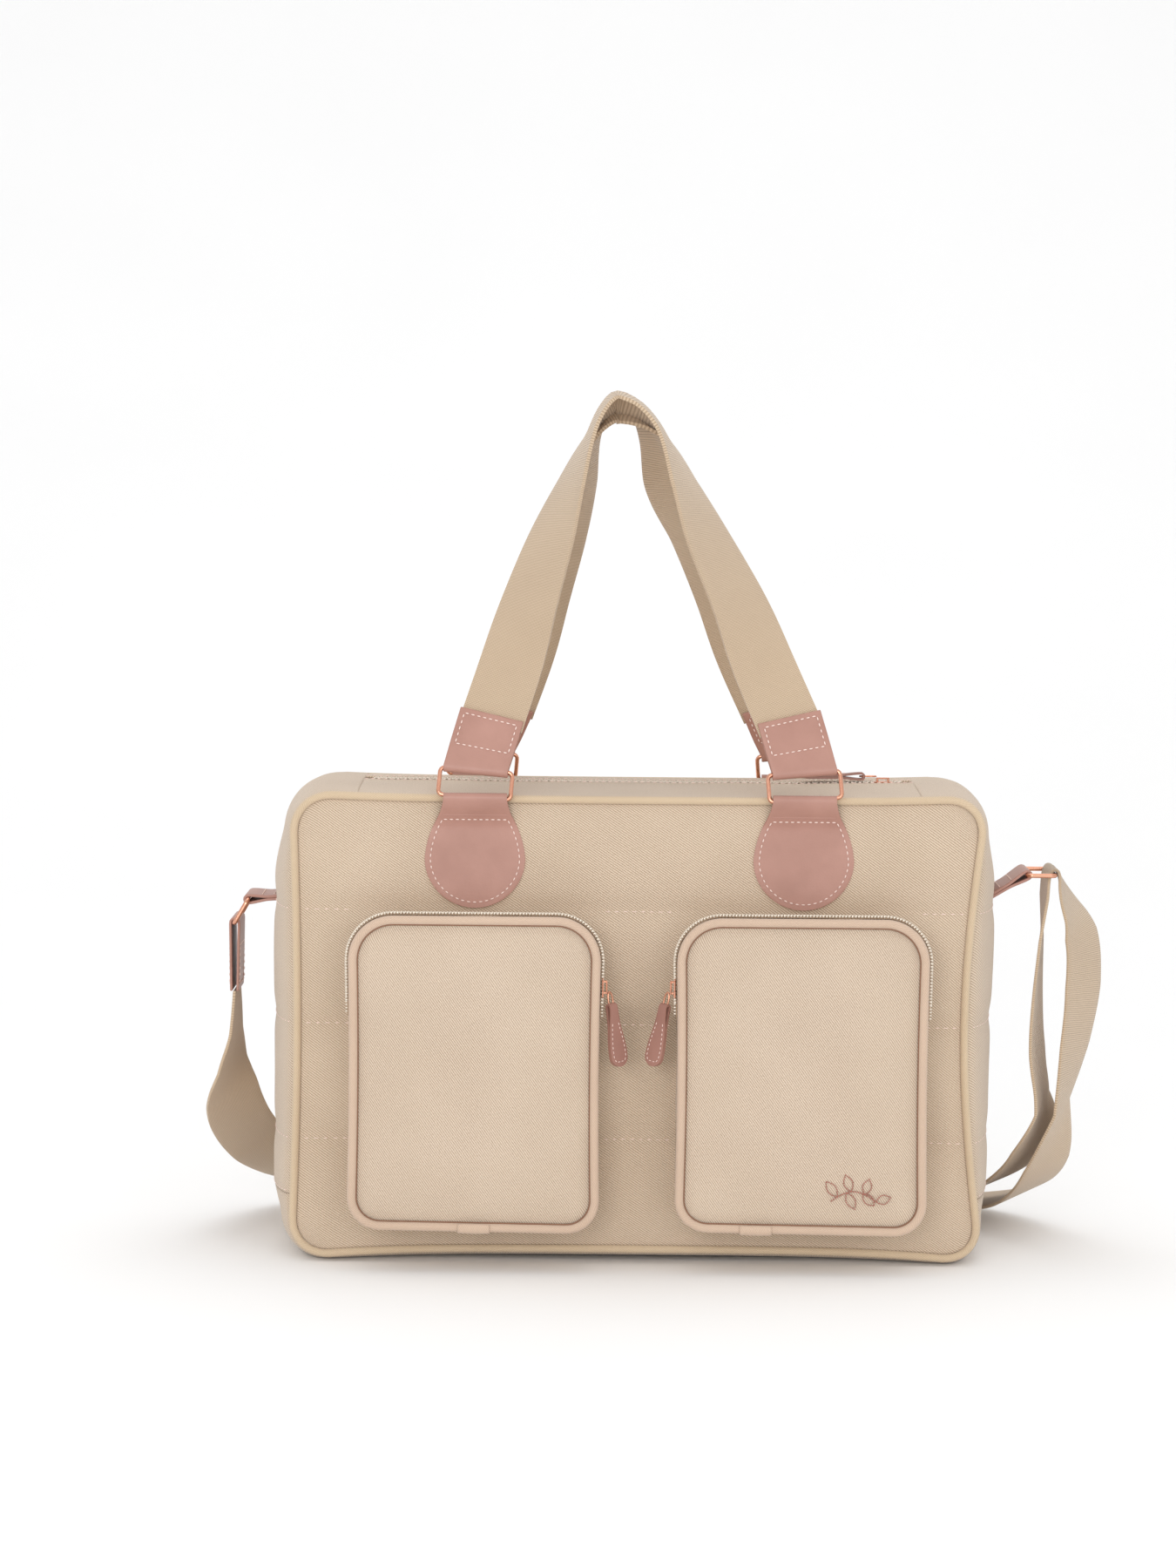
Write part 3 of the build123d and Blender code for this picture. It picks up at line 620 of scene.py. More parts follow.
@dataclass(frozen=True)
class Finish:
    """One material: its colours, gloss and relief.

    Attributes:
        name: the material's name.
        slot: the record's slot; not used.
        high: screen colour of what stands proud; in a weave this is painted light on the cords, elsewhere the
            light end of random tone.
        low: screen colour of what lies deep; in a weave this is painted shade in the hollows, elsewhere the
            dark end of random tone.
        weave: the surface pattern.
        relief: depth of the pattern in metres.
        roughness: of the surface.
        metallic: 1 for metal.
        sheen: the soft glow of cloth.
        pitch: distance between cords or size of cells, in metres.
        slant: angle of the cords.
        contrast: between high and low, which in a weave deepens the painted shade in its hollows.
        uses_uv: whether the pattern follows the piece's UV map.
    """

    name: str
    slot: str
    high: Colour
    low: Colour
    weave: Weave
    relief: float
    roughness: float
    metallic: float = 0.0
    sheen: float = 0.0
    pitch: float = 0.00115
    slant: float = 0.6
    contrast: float = 1.0
    uses_uv: bool = True

    def material(self) -> bpy.types.Material:
        """Returns the material, made once."""
        if self.name in bpy.data.materials:
            return bpy.data.materials[self.name]
        material = bpy.data.materials.new(self.name)
        material.use_nodes = True
        g = Graph(material.node_tree)
        coords = g.add("TexCoord").outputs
        clouds = g.add("Group", node_tree=weave_group(*Weave.PLAIN.value))
        g.tree.links.new(coords["Object"], clouds.inputs["Vector"])
        slow, fine = clouds.outputs
        height = shade = fine
        if self.weave is not Weave.PLAIN:
            pattern = g.add("Group", node_tree=weave_group(*self.weave.value))
            g.tree.links.new(coords["UV"] if self.uses_uv else coords["Object"], pattern.inputs["Vector"])
            pattern.inputs["Pitch"].default_value = self.pitch
            if self.weave is Weave.TWILL:
                pattern.inputs["Slant"].default_value = self.slant
            height, shade = pattern.outputs
        # For twill and ribs the colour follows the weave's height, painted shade in its hollows; for grain
        # and plain finishes it follows random tone.
        sharp = g.plus(g.times(g.math("SUBTRACT", shade, 0.5), self.contrast), 0.5)
        tone = g.plus(g.times(sharp, 0.8), g.times(slow, 0.3))
        colour = g.add("Mix", {0: tone, 6: srgb(self.low), 7: srgb(self.high)},
                       data_type="RGBA", clamp_factor=True).outputs[2]
        rough = g.add("MapRange", {0: slow, 3: self.roughness - 0.06, 4: self.roughness + 0.08}).outputs[0]
        bump = g.add("Bump", {"Height": height, "Distance": self.relief, "Strength": 1.0}).outputs[0]
        shader = g.add("BsdfPrincipled", {
            "Base Color": colour, "Roughness": rough, "Metallic": self.metallic,
            "Sheen Weight": self.sheen, "Sheen Roughness": 0.6, "Normal": bump,
        })
        g.add("OutputMaterial", {"Surface": shader.outputs[0]})
        return material

    def dress(self, piece: bpy.types.Object, body: str | None, *nodes: str) -> bpy.types.Object:
        """Puts the material on a piece, and says where it belongs.

        Args:
            piece: a new piece.
            body: the CAD body that it rides on, or None to leave it unattached.
            nodes: the CAD nodes that it stands for.

        Returns:
            The same piece.
        """
        piece.data.materials.clear()
        piece.data.materials.append(self.material())
        if body:
            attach(piece, body)
        if nodes:
            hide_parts(*nodes)
        return piece

    def cover(self, node: str) -> None:
        """Puts the material on a CAD node."""
        target = frame["nodes"][node]
        target.data.materials.clear()
        target.data.materials.append(self.material())


CANVAS = Finish("beige twill", "twill", (222, 203, 181), (164, 140, 115), Weave.TWILL, 0.00022, 0.86,
                sheen=0.25, pitch=0.0013, contrast=1.9)
POCKET_CANVAS = Finish("pale twill", "pocket_twill", (221, 203, 183), (166, 143, 120), Weave.TWILL, 0.0002,
                       0.86, sheen=0.25, pitch=0.0012, slant=0.96, contrast=1.9)
CORDING = Finish("piping twill", "piping", (222, 201, 172), (176, 150, 118), Weave.TWILL, 0.00015, 0.84,
                 sheen=0.2, pitch=0.0009)
POCKET_CORDING = Finish("pink piping", "piping", (219, 194, 172), (176, 148, 125), Weave.TWILL, 0.00015, 0.84,
                        sheen=0.2, pitch=0.0009)
WEBBING = Finish("handle webbing", "webbing", (206, 183, 155), (146, 121, 95), Weave.RIB, 0.0002, 0.8,
                 sheen=0.3, pitch=0.0013, contrast=1.5)
LEATHER = Finish("dusty pink leather", "leather", (182, 137, 123), (150, 107, 93), Weave.GRAIN, 0.00007, 0.42,
                 pitch=0.0009, uses_uv=False)
# A darker copy of the dusty pink leather for the pulls: painted shade, for pulls that hang in shade.
SHADED_PULL_LEATHER = Finish("deep pink leather", "leather", (166, 121, 107), (138, 96, 84), Weave.GRAIN, 0.00008,
                      0.42, pitch=0.0008, uses_uv=False)
# A dark cord laid in the groove inside the pocket piping, coloured as painted shadow.
SHADOW_CORD = Finish("brown seam thread", "pocket_twill", (150, 112, 88), (120, 86, 66), Weave.PLAIN, 0.00005, 0.8)
ROSE_METAL = Finish("rose metal", "rose_metal", (232, 176, 150), (205, 140, 112), Weave.PLAIN, 0.00001, 0.2,
                    metallic=1.0)
TEETH = Finish("pale metal teeth", "zip_teeth", (236, 226, 212), (196, 182, 164), Weave.PLAIN, 0.00002, 0.3,
               metallic=0.55)
TAPE = Finish("zip tape", "zip_teeth", (176, 148, 120), (132, 104, 80), Weave.RIB, 0.00012, 0.85,
              sheen=0.2, pitch=0.0009)
THREAD = Finish("pale pink thread", "twill", (246, 224, 214), (226, 198, 186), Weave.PLAIN, 0.00005, 0.7,
                sheen=0.3)
ROSE_THREAD = Finish("rose thread", "leather", (176, 112, 92), (142, 84, 68), Weave.PLAIN, 0.00005, 0.55,
                     sheen=0.3)
LINING = Finish("woven lining", "lining", (214, 198, 178), (180, 162, 140), Weave.TWILL, 0.0001, 0.8,
                sheen=0.2, pitch=0.0008)
FOAM = Finish("padding", "foam", (236, 232, 220), (214, 208, 192), Weave.GRAIN, 0.0003, 0.95, pitch=0.002,
              uses_uv=False)
BOARD = Finish("base board", "board", (70, 70, 72), (48, 48, 50), Weave.GRAIN, 0.0001, 0.7, pitch=0.0015,
               uses_uv=False)


# ------------------------------------------------------------------ the bag's shell
@dataclass
class Shell:
    """The sewn body: two quilted panels, their piping, the gussets, the base and the inside.

    Attributes:
        rim: the piping's centreline, before the bag's own slackness.
        panel_y: depth of a panel's face from the middle.
        piping_y: depth of the piping's centreline.
        piping_r: the piping's radius.
        gusset_y: depth of the gusset's sewn edge.
        gusset_off: how far the gusset stands off the rim.
        seam_z: height of the seam between base and side gusset.
        mouth: half the length of the zipped top.
        corner: radius of the rim's corners.
        slack_right: how far the right side falls in.
        slack_left: how far the left side falls in.
        foot_lift: how far the middle of the foot lifts.
        top_sag: how far the middle of the top sags.
        back_share: how much of this the back panel does.
        quilt_shares: where the sewn lines run, as shares of the panel's height.
        quilt_reach: how far the padding dips beside a sewn line.
        padding: how far it stands out between them.
        waves: height of the panel's slow waves.
        crease: depth of the soft crease between the pockets.
        crest_left: where the left gusset bulges to.
        crest_right: where the right gusset bulges to.
        top_crown: how far the gusset bulges over the top.
        base_crown: how far it bulges under the base.
    """

    rim: Rim = field(init=False)
    panel_y: float = 0.0738
    piping_y: float = 0.0742
    piping_r: float = 2.4 * MM
    gusset_y: float = 0.0728
    gusset_off: float = 1.6 * MM
    seam_z: float = 0.040
    mouth: float = 0.168
    corner: float = 0.024
    slack_right: float = 0.0115
    slack_left: float = 0.0032
    foot_lift: float = 0.0065
    top_sag: float = 0.0028
    back_share: float = 0.6
    quilt_shares: tuple[float, ...] = (0.257, 0.507, 0.752)
    quilt_reach: float = 7.5 * MM
    padding: float = 2.2 * MM
    waves: float = 1.2 * MM
    crease: float = 2.2 * MM
    crest_left: float = 0.2205
    crest_right: float = 0.2165
    top_crown: float = 3.5 * MM
    base_crown: float = 9 * MM

    def __post_init__(self) -> None:
        """Takes the rim from the piping in the frame."""
        low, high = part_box("front_piping")
        r = 2.25 * MM
        self.rim = Rim(0.0, high[0] - r, low[2] + r, high[2] - r, self.corner, self.corner)

    def height(self, z: float) -> float:
        """Returns the height as a share of the panel, from 0 to 1."""
        return clamp((z - self.rim.low) / (self.rim.high - self.rim.low))

    def slack(self, x: float, z: float, y: float) -> Vector:
        """Moves a point of the upright outline the way the filled bag pulls it.

        Args:
            x: place along the bag.
            z: height.
            y: depth, from the front face to the back face.

        Returns:
            The moved point.
        """
        h, across = self.height(z), x / self.rim.half
        pull = -self.slack_right if x > 0 else self.slack_left
        share = self.back_share if y > 0 else 1.0
        middle = 1 - across ** 4
        shift = pull * sin(pi * h) ** 1.1 * abs(across) ** 3 * share
        lift = self.foot_lift * (1 - h) ** 7 * middle * share
        return Vector((x + shift, y, z + lift - self.top_sag * h ** 8 * middle))

    def quilt_lines(self) -> list[float]:
        """Returns the heights of the sewn lines."""
        reach = self.rim.high - self.rim.low
        return [self.rim.low + reach * share for share in self.quilt_shares]

    def quilt(self, z: float) -> float:
        """Returns how full the padding is at a height, from 0 on a sewn line to 1."""
        return 1 - max(bell(z - line, self.quilt_reach) for line in self.quilt_lines())

    def panel_point(self, x: float, z: float, end: End, proud: float = 0.0) -> Vector:
        """Returns a point on a panel's face.

        Args:
            x: place along the bag.
            z: height.
            end: which panel.
            proud: how far off the face, outwards.
        """
        edge = min(self.rim.half - abs(x), z - self.rim.low, self.rim.high - z)
        wave = self.waves * ripple(x, 0, z, 0.045, 3.0 + end.value)
        wave += self.waves / 3 * ripple(x, 0, z, 0.018, 6.0 + end.value)
        crease = self.crease * bell(x + 0.002, 0.010) * smooth(z, 0.02, 0.1) * (1 - smooth(z, 0.16, 0.24))
        fill = self.padding * self.quilt(z) - 0.4 * MM
        bulge = smooth(edge, -0.002, 0.03) * (fill + wave - crease)
        return self.slack(x, z, end.value * self.panel_y) + Y * end.value * (bulge + proud)

    def panel(self, end: End) -> None:
        """Builds one quilted panel with its padding, its stitches and its piping."""
        outline = self.rim.inset(self.piping_r - 0.4 * MM)
        back = end is End.BACK

        def place(a: float, b: float) -> Vector:
            """Returns the panel's face."""
            return self.panel_point(*outline.spot(a, b), end)

        def pins(a: float, b: float) -> bool:
            """Says whether a point lies on the border or on a sewn line."""
            z = outline.spot(a, b)[1]
            border = min(a, 1 - a, b, 1 - b) < 0.012
            return border or min(abs(z - line) for line in self.quilt_lines()) < 1.5 * MM

        def behind(a: float, b: float) -> Vector:
            """Returns the padding's face, just behind the panel."""
            return self.panel_point(*outline.spot(0.03 + a * 0.94, 0.035 + b * 0.93), end, -2.3 * MM)

        face = patch(f"{end.tag}_panel_quilted", (140, 96), place, outline.size(), flip=back, pins=pins)
        puff(face, 0.9, 2.5 * MM)
        thicken(face, 1.8 * MM, levels=1)
        CANVAS.dress(face, "bag", f"{end.tag}_panel")

        pad = patch(f"{end.tag}_padding_sheet", (70, 48), behind, outline.size(), flip=back)
        FOAM.dress(thicken(pad, 3.2 * MM), "bag", f"{end.tag}_padding")

        rows, steps = [], 60
        for z in self.quilt_lines():
            for start, stop in self.open_runs(z, end):
                course = (start + (stop - start) * k / steps for k in range(steps + 1))
                rows.append(([self.panel_point(x, z, end, 0.1 * MM) for x in course], Y * end.value))
        QUILTING.rows(f"{end.tag}_quilting_stitches", "bag", rows)
        middle = rim_middle(self.rim, lambda x, z: self.slack(x, z, end.value * self.piping_y))
        cord = tube(f"{end.tag}_piping_cord", middle, self.rim.length(), self.piping_r, (360, 12))
        CORDING.dress(cord, "bag", f"{end.tag}_piping")

    def open_runs(self, z: float, end: End) -> list[tuple[float, float]]:
        """Returns the stretches of a quilting line that nothing covers."""
        reach = self.rim.half - 4 * MM
        if end is End.FRONT and z <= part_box("pocket_gusset_left")[1][2]:
            low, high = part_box("pocket_gusset_right")
            return [(-reach, -high[0] - MM), (-low[0] + MM, low[0] - MM), (high[0] + MM, reach)]
        low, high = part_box("handle_tab_front_right")
        if z < low[2] or z > high[2]:
            return [(-reach, reach)]
        round_r = 0.030
        half = sqrt(max(0.0, round_r ** 2 - (z - low[2] - round_r) ** 2)) + MM
        middle = (low[0] + high[0]) / 2
        return [(-reach, -middle - half), (-middle + half, middle - half), (middle + half, reach)]

    def gusset_point(self, distance: float, s: float) -> Vector:
        """Returns a point on the gusset ring.

        Args:
            distance: along the rim from its bottom middle.
            s: across the gusset, from -1 at the front to 1 at the back.
        """
        x, z, nx, nz = self.rim.at(distance)
        front, back = self.slack(x, z, -self.gusset_y), self.slack(x, z, self.gusset_y)
        point = front.lerp(back, (s + 1) / 2)
        h = self.height(z)
        crest = self.crest_left if x < 0 else self.crest_right - 0.004 * (1 - h)
        side = max(crest - abs(front.x), 0.0) * smooth(h, -0.03, 0.16) * (1 - 0.75 * smooth(h, 0.8, 1.0))
        amount = side * abs(nx) ** 1.5 + (self.top_crown if nz > 0 else self.base_crown) * abs(nz)
        if abs(nx) > 0.5:
            amount *= 0.92 + 0.08 * self.quilt(z)
            amount += 1.1 * MM * ripple(x, point.y, z, 0.06, 9.0)
        point += Vector((nx, 0, nz)) * (amount * (1 - s * s) ** 0.62 + self.gusset_off)
        point.z = max(point.z, 0.3 * MM)
        return point

    def gusset(self, name: str, node: str, start: float, stop: float,
               steps: int = 96, levels: int = 1) -> None:
        """Builds a stretch of the gusset ring.

        Args:
            name: the piece's name.
            node: the CAD node that it stands for.
            start: where it starts along the rim.
            stop: where it ends.
            steps: quads along it.
            levels: how often it is subdivided.
        """
        def place(a: float, b: float) -> Vector:
            """Returns the gusset's face."""
            return self.gusset_point((start + (stop - start) * b) % self.rim.length(), 2 * a - 1)

        cloth = patch(name, (36, steps), place, (2 * self.gusset_y, stop - start))
        CANVAS.dress(thicken(cloth, 1.4 * MM, levels=levels), "bag", node)

    def gussets(self) -> None:
        """Builds the two side gussets, the base, the quilting and the seams between them."""
        whole, legs = self.rim.length(), self.rim.legs()
        seam = self.rim.climb(self.seam_z)
        over = self.rim.half - self.rim.high_r - self.mouth
        top_end = sum(legs[name] for name in ("bottom_right", "low_right", "right", "high_right")) + over
        self.gusset("side_gusset_right_cloth", "side_gusset_right", seam, top_end)
        self.gusset("side_gusset_left_cloth", "side_gusset_left", whole - top_end, whole - seam)
        self.gusset("base_cloth", "base_panel", -seam, seam, steps=150, levels=0)

        rows = []
        for side in Side:
            outward = X * side.value
            for z in [*self.quilt_lines(), self.seam_z + 2 * MM]:
                at = self.rim.climb(z)
                distance = at if side is Side.RIGHT else whole - at
                run = [self.gusset_point(distance, -0.97 + 1.94 * k / 30) for k in range(31)]
                rows.append(([p + outward * 0.1 * MM for p in run], outward))
        QUILTING.rows("gusset_stitches", "bag", rows)

    def inside(self) -> None:
        """Builds the lining bag and dresses the base board."""
        low, high = (Vector(corner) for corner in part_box("lining"))
        reach = high - low
        corner, drawn_in, drop, gap, wave = 0.021, 0.985, 4 * MM, 1.6 * MM, 1.2 * MM
        bm = bmesh.new()
        matrix = Matrix.Translation((low + high) / 2) @ Matrix.Diagonal((*reach, 1.0))
        bmesh.ops.create_cube(bm, size=1.0, matrix=matrix)
        upright = [e for e in bm.edges if abs(e.verts[0].co.y - e.verts[1].co.y) > 0.05]
        bmesh.ops.bevel(bm, geom=upright, offset=corner, segments=6, profile=0.5, affect="EDGES", material=-1)
        bmesh.ops.delete(bm, geom=[f for f in bm.faces if f.normal.z > 0.9], context="FACES")
        bmesh.ops.subdivide_edges(bm, edges=bm.edges, cuts=11, use_grid_fill=True)
        bmesh.ops.triangulate(bm, faces=[f for f in bm.faces if len(f.verts) > 4])
        for v in bm.verts:
            inward = -Vector((v.co.x / reach.x, v.co.y / reach.y, 0)).normalized()
            shifted = self.slack(v.co.x, v.co.z, v.co.y)
            v.co = Vector((shifted.x * drawn_in, v.co.y, max(shifted.z, low.z) - drop * self.height(v.co.z)))
            v.co += inward * (gap + wave * ripple(*v.co, 0.06, 21.0))
        bmesh.ops.recalc_face_normals(bm, faces=bm.faces)
        uv = bm.loops.layers.uv.new("UVMap")
        for face in bm.faces:
            for loop in face.loops:
                p = loop.vert.co
                loop[uv].uv = (p.x + p.y, p.z) if abs(face.normal.z) < 0.7 else (p.x, p.y)
        LINING.dress(thicken(make_object("lining_cloth", bm), 0.9 * MM), "bag", "lining")
        BOARD.cover("base_board")

    def build(self) -> None:
        """Builds the whole shell."""
        for end in End:
            self.panel(end)
        self.gussets()
        self.inside()
        log.info("shell built")


# ------------------------------------------------------------------ zips, sliders and pulls
@dataclass
class Pull:
    """A folded leather drop on a metal link, hanging from its slider.

    Attributes:
        name: its leather's CAD node, which is its body too.
        link_node: the CAD link.
        along: direction from the pin to the drop's tip.
        face: direction that the drop's face looks.
        pin: the pin's centre.
        across: direction over the drop's width.
        start: from the pin to the drop's fold.
        reach: length of the drop.
        half_wide: half its width near the tip.
        half_narrow: half its width at the fold.
        leather: thickness of one layer.
    """

    name: str
    link_node: str
    along: Vector
    face: Vector
    pin: Vector = field(init=False)
    across: Vector = field(init=False)
    start: float = 6.6 * MM
    reach: float = 37.5 * MM
    half_wide: float = 6.0 * MM
    half_narrow: float = 2.6 * MM
    leather: float = 1.35 * MM

    def __post_init__(self) -> None:
        """Takes the pin from the pull's joint."""
        self.pin = joint_place(f"{self.name}_swing")
        self.across = self.face.cross(self.along).normalized()

    def at(self, way: float, side: float, proud: float = 0.0) -> Vector:
        """Returns a point along the drop from the pin, to its side and off its face."""
        return self.pin + self.along * way + self.across * side + self.face * proud

    def half_width(self, share: float) -> float:
        """Returns half the drop's width at a share of its length."""
        tip = self.half_wide / self.reach
        body = self.half_narrow + (self.half_wide - self.half_narrow) * smooth(share, 0.0, 0.8)
        return body * (sqrt(clamp(1 - ((share - 1 + tip) / tip) ** 2)) if share > 1 - tip else 1.0)

    def apart(self, share: float) -> float:
        """Returns how far a layer lies from the drop's middle at a share of its length."""
        spread = 0.72 * MM + 1.1 * MM * (1 - smooth(share, 0.05, 0.42))
        return spread * arch(min(share / 0.05, 1.0))

    def build(self) -> None:
        """Builds the drop, its stitching and its link."""
        def place(a: float, b: float) -> Vector:
            """Returns the leather's middle, up the front, through the link and down the back."""
            share = 0.5 - 0.5 * cos(pi * abs(2 * b - 1))
            off = self.apart(share) * (1 if b < 0.5 else -1)
            return self.at(self.start + share * self.reach, (2 * a - 1) * self.half_width(share), off)

        drop = patch(f"{self.name}_leather", (10, 80), place, (2 * self.half_wide, 2 * self.reach))
        # The drop wears the darker copy of the leather: painted shade.
        SHADED_PULL_LEATHER.dress(thicken(drop, self.leather, offset=0.0, rounded=0.4 * MM), self.name, self.name)

        def edge(turn: float, layer: int) -> Vector:
            """Returns a point of the sewn line on one layer, up one side and down the other."""
            share = 0.30 + 0.66 * (1 - abs(2 * turn - 1))
            side = max(self.half_width(share) - 1.5 * MM, 0.0) * (1 if turn < 0.5 else -1)
            proud = self.apart(share) + self.leather / 2 + 0.05 * MM
            return self.at(self.start + share * (self.reach - 1.2 * MM), side, layer * proud)

        PULL_STITCH.rows(f"{self.name}_stitches", self.name, [
            ([edge(k / 59, layer) for k in range(60)], self.face * layer) for layer in (1, -1)
        ])

        half_length, half, wire = 4.6 * MM, 1.7 * MM, 0.55 * MM

        def middle(a: float) -> tuple[Vector, Vector, Vector]:
            """Returns the middle of the link's long wire loop, and its radial directions."""
            way, side = cos(2 * pi * a), sin(2 * pi * a)
            spot = self.at(half_length - 0.4 * MM + way * (half_length + 0.3 * MM), side * half)
            return spot, (self.along * way + self.across * side).normalized(), self.face

        link = tube(f"{self.name}_link_loop", middle, 4.8 * half_length, wire, (48, 10))
        ROSE_METAL.dress(link, self.name, self.link_node)


@dataclass
class Slider:
    """A zip slider: waisted plate, bridge and pin.

    Attributes:
        body: the body.
        node: the CAD node.
        middle: its centre on the surface of the zip.
        travel: direction towards the closed end.
        out: direction away from the zip.
    """

    body: str
    node: str
    middle: Vector
    travel: Vector
    out: Vector

    def build(self) -> None:
        """Builds the slider from blocks placed forward and up, and sized, in millimetres."""
        bm = bmesh.new()
        axes = (self.travel, self.out.cross(self.travel).normalized(), self.out)
        for forward, up, size, rounding in (
            (0.0, 0.5, (9.0, 6.6, 1.0), 0.45), (3.6, 0.5, (4.2, 8.4, 1.0), 0.45),
            (-4.2, 0.5, (2.6, 5.4, 1.0), 0.45), (3.2, 1.7, (1.4, 2.2, 2.0), 0.4),
            (-3.4, 1.7, (1.4, 2.2, 2.0), 0.4), (0.0, 2.9, (8.2, 2.2, 0.9), 0.4),
        ):
            spot = self.middle + (self.travel * forward + self.out * up) * MM
            block(bm, spot, axes, [s * MM for s in size], rounding * MM)
        bmesh.ops.recalc_face_normals(bm, faces=bm.faces)
        ROSE_METAL.dress(make_object(f"{self.body}_metal", bm, smooth_faces=False), self.body, self.node)


def teeth(name: str, body: str, line: list[Vector], up: Callable[[Vector], Vector],
          pitch: float, size: tuple[float, float, float]) -> None:
    """Builds a row of zip teeth that point to the other row, front or back.

    Args:
        name: the piece's name.
        body: the body that it rides on.
        line: points along the row.
        up: gives the direction away from the tape.
        pitch: between two teeth, in millimetres.
        size: of a tooth along the row, across it and up, in millimetres.
    """
    bm = bmesh.new()
    for spot, _ in walk(line, pitch * MM):
        high = up(spot)
        block(bm, spot, (Y.cross(high), Y, high), [s * MM for s in size], 0.22 * MM, 1)
    TEETH.dress(make_object(name, bm), body)


@dataclass
class TopOpening:
    """The zipped top: two half panels, the zip between them, its slider and its pull.

    Attributes:
        shell: the body that it closes.
        tape: width of one zip half.
        hinge_y: depth of the line that a half folds on.
    """

    shell: Shell
    tape: float = 0.0135
    hinge_y: float = 0.0713

    def top_height(self, x: float, y: float) -> float:
        """Returns the height of the top's face."""
        shell = self.shell
        share = 1 - (y / shell.gusset_y) ** 2
        edge = shell.slack(x, shell.rim.high, -shell.gusset_y).z + shell.gusset_off
        return edge + shell.top_crown * share ** 0.75 + 0.8 * MM * ripple(x, y, 0, 0.05, 14.0) * share

    def half(self, end: End) -> None:
        """Builds one half panel with its zip half."""
        s, body, front = end.value, f"top_{end.tag}", end is End.FRONT
        reach = self.shell.mouth + 0.5 * MM
        inner = self.tape - 4.5 * MM

        def place(a: float, b: float) -> Vector:
            """Returns the half panel's face, from its hinge to the zip."""
            x, y = reach * (2 * b - 1), s * (self.hinge_y + (inner - self.hinge_y) * a)
            return Vector((x, y, self.top_height(x, y) + 0.66 * MM * smooth(a, 0.86, 0.97)))

        def tape_place(a: float, b: float) -> Vector:
            """Returns the tape's face, from under the panel to the teeth."""
            x = (reach - 1.5 * MM) * (2 * b - 1)
            y = s * (self.tape + (0.4 * MM - self.tape) * a)
            return Vector((x, y, self.top_height(x, 0.0) - 0.6 * MM))

        size = (self.hinge_y - inner, 2 * reach)
        panel = patch(f"top_panel_{end.tag}_cloth", (28, 120), place, size, flip=front)
        CANVAS.dress(thicken(panel, 1.5 * MM, levels=1), body, f"top_panel_{end.tag}")
        tape = patch(f"main_zip_{end.tag}_tape", (10, 120), tape_place, (self.tape, 2 * reach), flip=front)
        TAPE.dress(thicken(tape, 0.7 * MM), body, f"main_zip_{end.tag}")

        toothed = reach - 6 * MM
        run = [Vector((x + 0.6 * MM * s, s * 1.3 * MM, self.top_height(x, 0.0) + 0.2 * MM))
               for x in (toothed * (2 * k / 60 - 1) for k in range(61))]
        teeth(f"main_zip_{end.tag}_teeth", body, run, lambda spot: Z, 2.4, (1.3, 2.4, 1.5))

        sewn_y = s * (inner + 2.2 * MM)
        edge = [Vector((x, sewn_y, self.top_height(x, sewn_y) + 0.8 * MM))
                for x in (reach * (2 * k / 100 - 1) for k in range(101))]
        EDGE_STITCH.rows(f"top_{end.tag}_stitches", body, [(edge, Z)])

    def build(self) -> None:
        """Builds both halves, the slider and the pull."""
        for end in End:
            self.half(end)
        low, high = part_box("main_zip_slider")
        middle = Vector(((low[0] + high[0]) / 2, 0.0, low[2] - 0.2 * MM))
        Slider("main_slider", "main_zip_slider", middle, X, Z).build()
        Pull("main_pull", "main_pull_link", -X, Z).build()
        log.info("top opening built")


